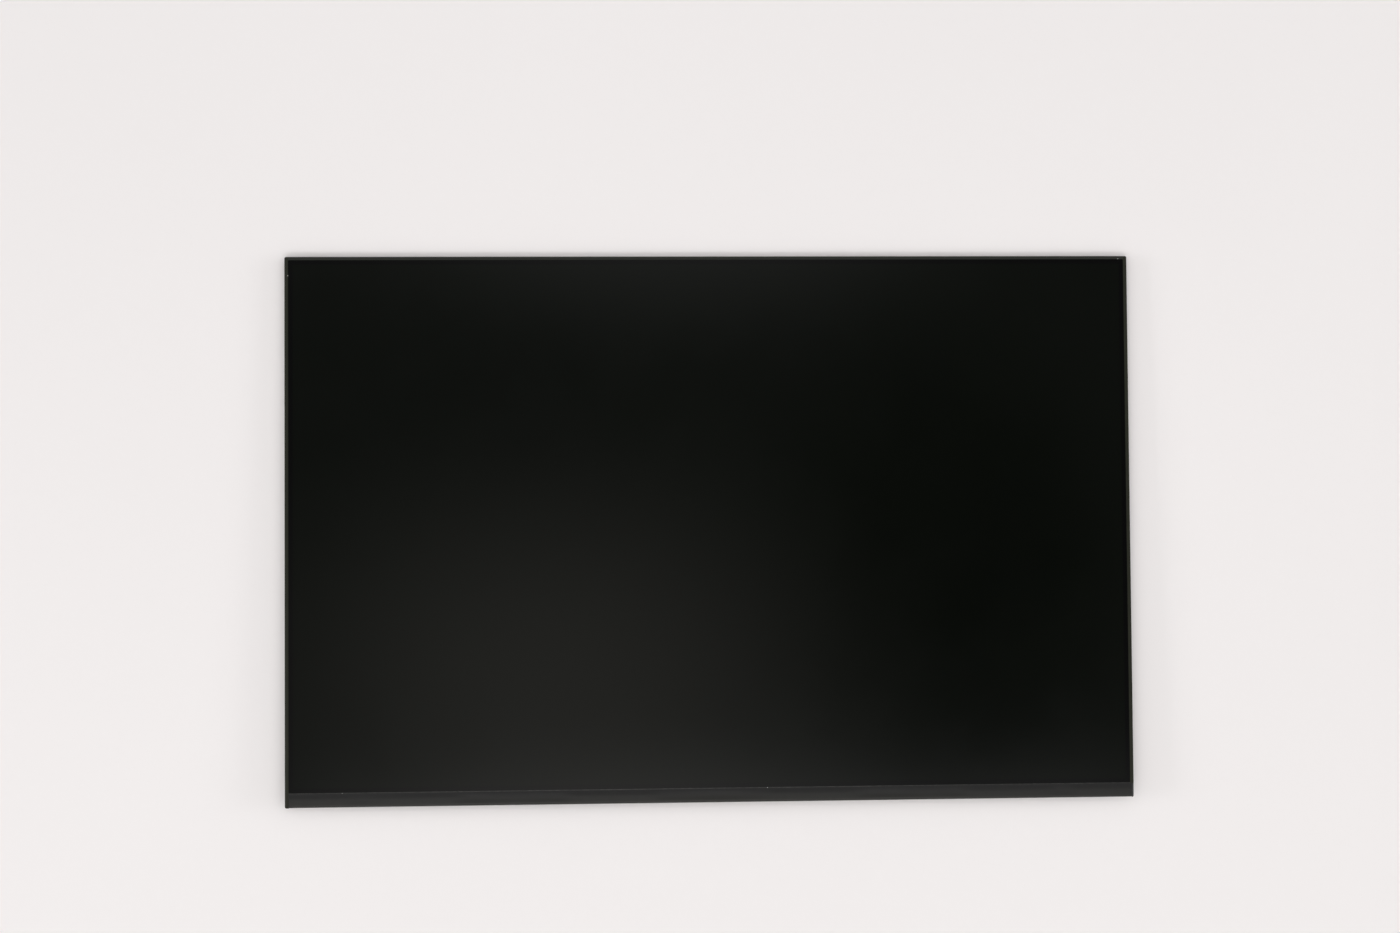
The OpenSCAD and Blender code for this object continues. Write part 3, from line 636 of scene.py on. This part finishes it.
# Rows of small chips: first place across and in from the bottom edge, count and pitch
SMALL_ROWS = [(-116, 12.6, 3, 2.2), (-116, 7.6, 3, 2.2), (-66, 12.9, 2, 2.2), (-54, 12.9, 4, 2.2),
              (-54, 6.9, 4, 2.2), (-31, 12.9, 3, 2.2), (-24, 7.4, 3, 2.2), (-2, 12.9, 4, 2.2),
              (14, 12.9, 7, 2.4), (14, 10.4, 7, 2.4), (14, 7.6, 5, 2.4), (90, 12.4, 8, 2.6),
              (90, 9.8, 8, 2.6), (90, 7.2, 6, 2.6)]
SMALL = [(x + i * pitch, inset(d)) for x, d, count, pitch in SMALL_ROWS for i in range(count)]
BULK = [(x, inset(d)) for x, d in ((-71, 8.6), (-71, 11.6), (46, 8.6), (46, 11.6), (82, 8.6), (82, 11.6))]
# Packages: place, width, height, thickness, leads to a side and their pitch
QUADS = {"timing_controller": (-40, inset(9.9), 7, 7, 0.85, 12, 0.5),
         "power_controller": (-61, inset(9.6), 5, 5, 0.8, 8, 0.5),
         "level_shifter": (3, inset(9.2), 5, 5, 0.8, 8, 0.5),
         "lamp_driver": (54, inset(10), 4, 4, 0.75, 6, 0.5)}
FLASH = (-15, inset(10.5), 4, 3, 0.6, 4, 0.8)
# Inductors: place and side
INDUCTORS = {"boost_inductor": (62, inset(9), 4.0), "supply_inductor": (-79, inset(8.8), 3.6)}
DIODE_X, DIODE_Y = 68.5, inset(12.3)
SOCKET_X, SOCKET_Y = -95.0, inset(9.0)
CONTACTS = offsets(30, 0.5)
FOIL_X, FOIL_HALF = 125, 5
TEST_POINTS = [(x, inset(d)) for x, d in (
    (-25.5, 12.2), (-22.5, 10.2), (32.5, 12.6), (34.5, 12.6), (36.5, 12.6), (38.5, 12.6), (40.5, 12.6),
    (75.5, 12.4), (77.5, 12.4), (114, 12.5), (116.5, 12.5), (-119, 9.5))]


def board_plate():
    """The bare board, with rounded corners and a round notch in each end."""
    shape = Shape()
    r, notch_r = 0.8, 1.0
    x, low, high, mid = BOARD_HALF - r, BOARD_LOW + r, BOARD_TOP - r, (BOARD_LOW + BOARD_TOP) / 2
    outline = arc(x, low, r, -90, 0, 5) + arc(BOARD_HALF, mid, notch_r, -90, -270, 12)
    outline += arc(x, high, r, 0, 90, 5) + arc(-x, high, r, 90, 180, 5)
    outline += arc(-BOARD_HALF, mid, notch_r, 90, -90, 12) + arc(-x, low, r, 180, 270, 5)
    shape.prism(outline, Z_BOARD, Z_BOARD_FRONT, 0, 1)
    piece("board_plate", shape, [mask_green, laminate], ["control_board"])


def small_parts():
    """The chips that are fused to the board in the solid: bodies and metal ends."""
    bodies, metal = Shape(), Shape()
    dice = random.Random(11)
    for x, y in SMALL:
        kind = dice.choice([0, 0, 1, 2])
        z = Z_BOARD - (0.46, 0.44, 0.34)[kind]
        bodies.block((x - 0.38, y - 0.31, z), (x + 0.38, y + 0.31, Z_BOARD - 0.02), kind)
        for side in SIDES:
            metal.block((x + side * 0.34, y - 0.335, z - 0.02), (x + side * 0.6, y + 0.335, Z_BOARD))
    piece("small_chip_bodies", bodies, [ceramic_tan, ceramic_grey, epoxy], bevel=0.035)
    piece("small_chip_ends", metal, [solder], bevel=0.05)


def solder_pads():
    """Pads, with a fillet of solder where a part stands on them."""
    pads = Shape()

    def pad(x0, x1, y0, y1, thickness=0.03):
        pads.block((x0, y0, Z_BOARD - thickness), (x1, y1, Z_BOARD))

    def fillet(x, y, dx, dy, half, high):
        pads.wedge(x, y, dx, dy, half, Z_BOARD - 0.02, high)

    for x, y in SMALL:
        for side in SIDES:
            pad(x + side * 0.28, x + side * 0.86, y - 0.39, y + 0.39, 0.025)
            fillet(x + side * 0.6, y, side * 0.22, 0, 0.3, 0.2)
    for x, y in BULK:
        for side in SIDES:
            pad(x + side * 1.0, x + side * 2.0, y - 0.85, y + 0.85, 0.025)
            fillet(x + side * 1.6, y, side * 0.35, 0, 0.72, 0.42)
    for x, y, w, h, _, count, pitch in QUADS.values():
        for k in offsets(count, pitch):
            for side in SIDES:
                pad(x + side * (w / 2 - 0.05), x + side * (w / 2 + 0.42), y + k - 0.13, y + k + 0.13)
                fillet(x + side * w / 2, y + k, side * 0.26, 0, 0.115, 0.16)
                pad(x + k - 0.13, x + k + 0.13, y + side * (h / 2 - 0.05), y + side * (h / 2 + 0.42))
                fillet(x + k, y + side * h / 2, 0, side * 0.26, 0.115, 0.16)
    x, y, w, _, _, count, pitch = FLASH
    for k in offsets(count, pitch):
        for side in SIDES:
            pad(x + side * (w / 2 - 0.05), x + side * (w / 2 + 0.5), y + k - 0.2, y + k + 0.2)
            fillet(x + side * w / 2, y + k, side * 0.3, 0, 0.17, 0.16)
    for x, y, width in INDUCTORS.values():
        half = width / 2
        for side in SIDES:
            pad(x + side * (half - 0.7), x + side * (half + 0.45), y - 1.2, y + 1.2)
            fillet(x + side * half, y, side * 0.35, 0, 1.1, 0.3)
    for side in SIDES:
        pad(DIODE_X + side * 1.4, DIODE_X + side * 2.3, DIODE_Y - 0.65, DIODE_Y + 0.65)
        fillet(DIODE_X + side * 1.88, DIODE_Y, side * 0.3, 0, 0.45, 0.16)
    for x, y in TEST_POINTS:
        pads.disc(x, y, 0.5, Z_BOARD - 0.03, Z_BOARD, steps=24)
    for side in SIDES:
        x = SOCKET_X + side * 11.25
        pad(x - 0.55, x + 0.7, SOCKET_Y - 1.5, SOCKET_Y + 0.3)
    piece("solder_pads", pads, [solder])


class Room:
    """Which tenths of a millimetre of the board's face are still free."""

    PER_MM = 10

    def __init__(self):
        self.x0, self.y0 = -BOARD_HALF, inset(5.7)
        self.nx, self.ny = 2620, 83
        self.taken = bytearray(self.nx * self.ny)

    def cell(self, x, y):
        return int((x - self.x0) * self.PER_MM), int((y - self.y0) * self.PER_MM)

    def take(self, x0, y0, x1, y1):
        (a, low), (b, high) = self.cell(x0, y0), self.cell(x1, y1)
        a, b = max(0, a), min(self.nx, b + 1)
        for j in range(max(0, low), min(self.ny, high + 1)):
            self.taken[j * self.nx + a:j * self.nx + b] = b"\1" * max(0, b - a)

    def take_around(self, x, y, half_w, half_h):
        self.take(x - half_w, y - half_h, x + half_w, y + half_h)

    def free(self, x, y, r):
        (i, j), k = self.cell(x, y), int(r * self.PER_MM)
        if i - k < 3 or j - k < 1 or i + k > self.nx - 4 or j + k > self.ny - 5:
            return False
        rows = (self.taken[q * self.nx + i - k:q * self.nx + i + k + 1] for q in range(j - k, j + k + 1))
        return not any(any(row) for row in rows)


def room_left():
    """The board's face with the room of its parts taken."""
    room = Room()
    for x, y in SMALL:
        room.take_around(x, y, 1.0, 0.5)
    for x, y in BULK:
        room.take_around(x, y, 2.1, 0.95)
    for x, y, w, h, *_ in QUADS.values():
        room.take(x - w / 2 - 0.55, y - h / 2 - 0.55, x + w / 2 + 0.55, y + h / 2 + 0.55)
    room.take_around(*FLASH[:2], 2.6, 1.6)
    room.take_around(*INDUCTORS["boost_inductor"][:2], 2.6, 2.1)
    room.take_around(*INDUCTORS["supply_inductor"][:2], 2.4, 1.95)
    room.take_around(DIODE_X, DIODE_Y, 2.4, 0.95)
    for x, y in TEST_POINTS:
        room.take_around(x, y, 0.7, 0.7)
    room.take(SOCKET_X - 12.2, SOCKET_Y - 0.2, SOCKET_X + 12.2, SOCKET_Y + 5.2)
    for side in SIDES:
        room.take(side * FOIL_X - 5.3, inset(11.3), side * FOIL_X + 5.3, inset(14.2))
    return room


def route(room, dice, x, y, way, goal):
    """Corners of a track that runs on until something is in its way. Too short a track comes back empty."""
    step, clear = 0.1, 0.2
    points, px, py, turn, jog = [(x, y)], x, y, 0, 0.0
    while abs(px - x) < goal:
        nx, ny = px + step * way, py + step * turn
        if room.free(nx, ny, clear):
            px, py = nx, ny
            if turn and abs(py - points[-1][1]) > jog:
                points.append((px, py))
                turn = 0
            elif not turn and dice.random() < 0.006:
                points.append((px, py))
                turn, jog = dice.choice((-1, 1)), dice.choice((0.3, 0.6, 0.9))
            continue
        if turn:
            break
        for option in dice.sample((-1, 1), 2):
            if all(room.free(px + far * way, py + far * option, clear) for far in (step, 0.3)):
                points.append((px, py))
                turn, jog = option, 0.3
                break
        else:
            break
    points.append((px, py))
    points = [p for i, p in enumerate(points) if i == 0 or math.dist(p, points[i - 1]) > 0.05]
    return [] if abs(px - x) < 1.6 or len(points) < 2 else points


def tracks_and_vias():
    """Copper under the solder mask: tracks with a via at each end, and vias that stand alone."""
    room = room_left()
    dice = random.Random(23)
    tracks, vias = Shape(), Shape()

    def via(x, y, half):
        vias.disc(x, y, 0.24, Z_BOARD - 0.02, Z_BOARD, 0, 12)
        vias.disc(x, y, 0.1, Z_BOARD - 0.024, Z_BOARD, 1, 8)
        room.take_around(x, y, half, half)

    for _ in range(2600):
        x = dice.uniform(-BOARD_HALF + 1, BOARD_HALF - 1)
        y = inset(5.9) + 0.3 * dice.randrange(0, 27)
        if not room.free(x, y, 0.3):
            continue
        way = dice.choice((-1, 1))
        wide = dice.choice((0.12, 0.12, 0.12, 0.25))
        points = route(room, dice, x, y, way, dice.uniform(2, 34))
        if not points:
            continue
        tracks.ribbon(points, wide, Z_BOARD - 0.018, Z_BOARD)
        for a, b in zip(points, points[1:]):
            steps = max(1, int(math.dist(a, b) / 0.1))
            for s in range(steps + 1):
                qx, qy = a[0] + (b[0] - a[0]) * s / steps, a[1] + (b[1] - a[1]) * s / steps
                room.take_around(qx, qy, 0.1, 0.1)
        for end in (points[0], points[-1]):
            via(*end, 0.25)
    for _ in range(900):
        x, y = dice.uniform(-130, 130), dice.uniform(inset(5.9), inset(13.8))
        if room.free(x, y, 0.4):
            via(x, y, 0.3)
    piece("board_tracks", tracks, [track_green], merge=False)
    piece("board_vias", vias, [track_green, hole_dark], merge=False)


def legend():
    """Printed outlines round the packages and a mark at each first pin."""
    ink = Shape()
    z0, z1, half_line = Z_BOARD - 0.012, Z_BOARD, 0.06
    frames = [(x, y, w + 1.3, h + 1.3) for x, y, w, h, *_ in QUADS.values()]
    frames.append((*FLASH[:2], FLASH[2] + 1.5, FLASH[3] + 0.6))
    frames += [(x, y, width + 1.4, width + 0.5) for x, y, width in INDUCTORS.values()]
    for x, y, w, h in frames:
        arm = min(w, h) * 0.2
        for sx in SIDES:
            for sy in SIDES:
                cx, cy = x + sx * w / 2, y + sy * h / 2
                ink.block((cx, cy - half_line, z0), (cx - sx * arm, cy + half_line, z1))
                ink.block((cx - half_line, cy, z0), (cx + half_line, cy - sy * arm, z1))
        ink.disc(x - w / 2 - 0.35, min(inset(13.6), y + h / 2 - 0.3), 0.16, z0, z1)
    for x in (DIODE_X - 1.5, DIODE_X + 1.5):
        ink.block((x - half_line, DIODE_Y - 1.05, z0), (x + half_line, DIODE_Y + 1.05, z1))
    piece("board_legend", ink, [ink_white])


board_plate()
small_parts()
solder_pads()
tracks_and_vias()
legend()


# Packages

def package(name, x, y, w, h, high, count, pitch, four_sides=True):
    """Moulded package: chamfered edges, a dimple at the first pin, and its metal leads along the sides."""
    shape = Shape()
    chamfer, r = 0.12, 0.15
    z1, z0 = Z_BOARD - 0.02, Z_BOARD - high
    rings = []
    for in_by, z in ((0, z1), (0, z0 + chamfer), (chamfer, z0)):
        hx, hy = w / 2 - in_by, h / 2 - in_by
        ring = []
        for sx, sy, a in ((1, -1, -90), (1, 1, 0), (-1, 1, 90), (-1, -1, 180)):
            points = arc(x + sx * (hx - r), y + sy * (hy - r), r, a, a + 90, 3)
            ring += [(px, py, z) for px, py in points]
        rings.append(ring)
    n = len(rings[0])
    shape.add([v for ring in rings for v in ring], [list(range(n))] + loop_faces(n, 0) + loop_faces(n, 1))
    # Rear face with a round dimple sunk into it
    dx, dy, dr, steps = x - w / 2 + 0.75, y + h / 2 - 0.75, 0.28, 20
    bm = bmesh.new()
    outer = [bm.verts.new(v) for v in rings[2]]
    hole = [bm.verts.new((px, py, z0)) for px, py in circle(dx, dy, dr, steps)]
    edges = [bm.edges.new((ring[i], ring[(i + 1) % len(ring)]))
             for ring in (outer, hole) for i in range(len(ring))]
    bmesh.ops.triangle_fill(bm, edges=edges, use_beauty=True)
    for f in list(bm.faces):
        m = f.calc_center_median()
        if math.hypot(m.x - dx, m.y - dy) < dr * 0.9 and all(v in hole for v in f.verts):
            bm.faces.remove(f)
    bm.verts.index_update()
    shape.add([tuple(v.co) for v in bm.verts], [[v.index for v in f.verts] for f in bm.faces])
    bm.free()
    sunk = [(px, py, z) for ring_r, z in ((dr, z0), (dr * 0.8, z0 + 0.04))
            for px, py in circle(dx, dy, ring_r, steps)]
    shape.add(sunk, loop_faces(steps, 0) + [list(range(steps, 2 * steps))])
    low, top, half = Z_BOARD - 0.2, Z_BOARD - 0.01, 0.11
    for k in offsets(count, pitch):
        for side in SIDES:
            a, b = side * (w / 2 - 0.1), side * (w / 2 + 0.012)
            shape.block((x + a, y + k - half, low), (x + b, y + k + half, top), 1)
            if four_sides:
                a, b = side * (h / 2 - 0.1), side * (h / 2 + 0.012)
                shape.block((x + k - half, y + a, low), (x + k + half, y + b, top), 1)
    piece(name + "_package", shape, [epoxy, solder], [name], smooth=25)


def inductor(name, x, y, width):
    """Shielded power inductor: a square shield with cut corners, a round drum in it, and two terminals."""
    shape = Shape()
    half, cut = width / 2, width * 0.12
    octagon = [(x + half, y - half + cut), (x + half, y + half - cut), (x + half - cut, y + half),
               (x - half + cut, y + half), (x - half, y + half - cut), (x - half, y - half + cut),
               (x - half + cut, y - half), (x + half - cut, y - half)]
    shape.prism(octagon, Z_BOARD - 1.06, Z_BOARD - 0.12)
    shape.disc(x, y, half * 0.93, Z_BOARD - 1.12, Z_BOARD - 1.0, 2, 48)
    shape.disc(x, y, half * 0.84, Z_BOARD - 1.2, Z_BOARD - 1.0, 0, 48)
    for side in SIDES:
        shape.block((x + side * (half - 0.75), y - 1.05, Z_BOARD - 0.34),
                    (x + side * (half + 0.01), y + 1.05, Z_BOARD - 0.01), 1)
    piece(name + "_core", shape, [ferrite, solder, bond], [name], bevel=0.05)


def diode():
    """Flat diode with bent leads and a band at one end."""
    shape = Shape()
    x, y, half_lead = DIODE_X, DIODE_Y, 0.5
    shape.block((x - 1.3, y - 0.8, Z_BOARD - 0.95), (x + 1.3, y + 0.8, Z_BOARD - 0.1))
    for side in SIDES:
        for start, end, rise in ((1.2, 1.9, 0.16), (1.25, 1.36, 0.5)):
            shape.block((x + side * start, y - half_lead, Z_BOARD - rise),
                        (x + side * end, y + half_lead, Z_BOARD), 1)
    piece("rectifier_package", shape, [epoxy, solder], ["rectifier_diode"], bevel=0.035)
    band = Shape()
    band.block((x - 1.08, y - 0.74, Z_BOARD - 0.958), (x - 0.72, y + 0.74, Z_BOARD - 0.9))
    piece("rectifier_band", band, [ink_white])


def bulk_capacitors():
    """Six large chip capacitors with metal ends."""
    bodies, ends = Shape(), Shape()
    for x, y in BULK:
        bodies.block((x - 1.15, y - 0.76, Z_BOARD - 1.06), (x + 1.15, y + 0.76, Z_BOARD - 0.04))
        for side in SIDES:
            ends.block((x + side * 1.1, y - 0.8, Z_BOARD - 1.1), (x + side * 1.6, y + 0.8, Z_BOARD))
    names = ["bulk_capacitor_%d" % i for i in range(1, 7)]
    piece("bulk_capacitor_bodies", bodies, [ceramic_tan], names, bevel=0.08)
    piece("bulk_capacitor_ends", ends, [solder], bevel=0.12, steps=3)


for name, values in QUADS.items():
    package(name, *values)
package("flash_memory", *FLASH, four_sides=False)
for name, values in INDUCTORS.items():
    inductor(name, *values)
diode()
bulk_capacitors()


# Signal socket

def socket():
    """Insulator with its tongue, thirty plated contacts with their solder feet, and the bent shell."""
    half, depth, wall = 10.55, 4.05, 1.2
    floor_y, tongue, rooted = depth - wall, half - 1.4, depth - wall + 0.1
    shape = Shape()
    for end, outline in (
            (half, [(0, 1.2), (0, 1.0), (floor_y, 1.0), (floor_y, 0.15), (depth, 0.15), (depth, 1.2)]),
            (tongue, [(0.5, 0.7), (0.5, 0.4), (rooted, 0.4), (rooted, 0.7)])):
        shape.strip([[(SOCKET_X + x, SOCKET_Y + y, z) for y, z in outline] for x in (-end, end)])
    piece("socket_insulator", shape, [resin], ["socket_housing"], bevel=0.03)
    contacts, feet = Shape(), Shape()
    for k in CONTACTS:
        x = SOCKET_X + k
        for y0, z0, y1, z1 in ((0.62, 0.36, 3.0, 0.44), (3.9, 0.98, 4.3, 1.08), (4.22, 1.06, 4.8, 1.17)):
            contacts.block((x - 0.1, SOCKET_Y + y0, z0), (x + 0.1, SOCKET_Y + y1, z1))
        feet.block((x - 0.14, SOCKET_Y + 4.3, Z_BOARD - 0.03), (x + 0.14, SOCKET_Y + 4.95, Z_BOARD))
    piece("socket_contacts", contacts, [gold], bevel=0.02)
    piece("socket_foot_pads", feet, [solder])
    softened("socket_shell", "socket_shell_bent", shell_metal, 0.05)


# Earthing foils

def foil(name, side):
    """Copper foil pressed down from the board on to the plate, with small creases."""
    x0, x1 = side * FOIL_X - FOIL_HALF, side * FOIL_X + FOIL_HALF
    line = [(BOARD_TOP - 2.4, 1.14), (BOARD_TOP - 1.2, 1.14), (BOARD_TOP - 0.05, 1.14),
            (BOARD_TOP + 0.12, 1.27), (BOARD_TOP + 0.5, 1.66), (BOARD_TOP + 0.68, 1.82)]
    line += [(BOARD_TOP + 0.9 + i * 0.51, 1.84) for i in range(11)]
    dice = random.Random(5 + side)
    creases = [(dice.uniform(x0, x1), dice.uniform(BOARD_TOP, BOARD_TOP + 6), dice.uniform(-1, 1),
                dice.uniform(0.015, 0.045)) for _ in range(9)]
    verts, faces = [], []
    columns = 61
    for i in range(columns):
        x = x0 + (x1 - x0) * i / (columns - 1)
        for y, z in line:
            ridges = [size * hump(x - cx + lean * (y - cy), 0, 0.16) * hump(y, cy, 1.6)
                      for cx, cy, lean, size in creases]
            verts.append((x, y, z - max(ridges)))
    n = len(line)
    for i in range(columns - 1):
        faces += [grid_face(n, i, k) for k in range(n - 1)]
    sheet(name + "_foil", verts, faces, copper, name, 0.05, -1)


socket()
foil("ground_tape_left", -1)
foil("ground_tape_right", 1)


# Floor, light and camera

PALE = (0.862, 0.835, 0.833)


def floor():
    """Pale floor. It leans by half a degree, as the part rests on its board's parts and its top edge."""
    low_y, half, n = -86.0, 20000.0, 8
    slope = TAPE_LOW / (HALF_H - low_y)
    points = [-half + 2 * half * i / n for i in range(n + 1)]
    mesh = bpy.data.meshes.new("floor")
    mesh.from_pydata([Vector((x, y, (y - low_y) * slope)) * MM for x in points for y in points], [],
                     [grid_face(n + 1, i, j)[::-1] for i in range(n) for j in range(n)])
    mesh.materials.append(surface("pale_floor", (0.868, 0.838, 0.836), (0.855, 0.825, 0.823), patch=3.0,
                                  rough=(0.7, 0.8), grain=900.0, height=1e-5, ior=1.3))
    linked("floor", mesh)


# Soft pale areas of the room: centre across and up, stretch across and up, radius from and to, and light
GLOWS = [(0.03, -0.19, 3.4, 1.0, 0.03, 0.09, 0.62), (0.24, -0.155, 1.2, 1.0, 0.01, 0.06, 0.22),
         (0.03, 0.19, 2.0, 1.0, 0.03, 0.105, 0.28)]


def world():
    """Soft light from all round, dim straight overhead, as in a room whose lamps stand to the sides."""
    made = bpy.data.worlds.new("soft_light")
    bpy.context.scene.world = made
    made.use_nodes = True
    tree = made.node_tree
    tree.nodes.clear()
    axes = node(tree, "SeparateXYZ", Vector=node(tree, "TexCoord").outputs["Generated"])
    up = maths(tree, "MAXIMUM", axes.outputs[2], 0.02)
    flat = node(tree, "CombineXYZ", X=maths(tree, "DIVIDE", axes.outputs[0], up),
                Y=maths(tree, "DIVIDE", axes.outputs[1], up)).outputs[0]

    def ring(cx, cy, sx, sy, r0, r1, low, high=0.0):
        """Light that goes from low inside an ellipse to high outside it."""
        at = maths(tree, "SUBTRACT", flat, (cx, cy, 0), kind="VectorMath")
        at = maths(tree, "MULTIPLY", at, (1 / sx, 1 / sy, 0), kind="VectorMath")
        far = node(tree, "VectorMath", {"operation": "LENGTH"}, i0=at).outputs["Value"]
        return ramp(tree, far, r0, r1, low, high, smooth=True)

    def tinted(colour, strength):
        return node(tree, "VectorMath", {"operation": "SCALE"}, i0=colour, Scale=strength).outputs[0]

    room = ring(0.085, 0.0, 1.0, 0.62, 0.28, 0.75, 0.075, 0.85)
    level = maths(tree, "MULTIPLY", room, ring(0.175, -0.01, 1.0, 1.15, 0.04, 0.13, 0.35, 1.0))
    for values in GLOWS:
        level = maths(tree, "ADD", level, ring(*values))
    level = maths(tree, "MULTIPLY", level, ramp(tree, axes.outputs[2], 0.05, 0.6, 0.45, 1.1, smooth=True))
    wide = ring(-0.03, -0.08, 1.6, 1.15, 0.0, 0.13, 0.36)
    light = maths(tree, "ADD", tinted((1.0, 0.995, 0.99), level), tinted((1.0, 0.94, 0.88), wide),
                  kind="VectorMath")
    above = ramp(tree, axes.outputs[2], 0.02, 0.08, smooth=True)
    shown = node(tree, "Background", Color=mixed(tree, above, rgba(PALE), light), Strength=1.0)
    tree.links.new(shown.outputs[0], node(tree, "OutputWorld").inputs["Surface"])


def lamp(name, place, size, power, colour=(1, 1, 1), spread=180.0, mirrored=True):
    """Soft box aimed at the part, with its spread in degrees. Glossy surfaces show it only if mirrored."""
    data = bpy.data.lights.new(name, "AREA")
    data.spread = math.radians(spread)
    data.shape, data.size, data.size_y = "RECTANGLE", size[0], size[1]
    data.energy, data.color = power, colour
    obj = linked(name, data)
    obj.location = place
    obj.rotation_euler = (-Vector(place)).to_track_quat("-Z", "Y").to_euler()
    obj.visible_glossy = mirrored


def camera():
    """The camera of the photo, nearly straight above the screen."""
    data = bpy.data.cameras.new("camera")
    data.sensor_width, data.lens = 36.0, 50.49
    data.clip_start, data.clip_end = 0.01, 50.0
    obj = linked("camera", data)
    obj.location = Vector((-36.73, 0.72, 717.03)) * MM
    obj.rotation_euler = [math.radians(a) for a in (1.77174, -2.61471, -0.42546)]
    bpy.context.scene.camera = obj


camera()
floor()
world()
lamp("soft_box", (-0.15, -1.15, 1.35), (1.5, 0.6), 5.5, (1.0, 0.99, 0.98))
for side in SIDES:
    lamp("side_box", (side * 3.0, 0.0, 0.66), (2.0, 0.5), 2.4, spread=40.0, mirrored=False)
bpy.context.scene.view_settings.view_transform = "Standard"
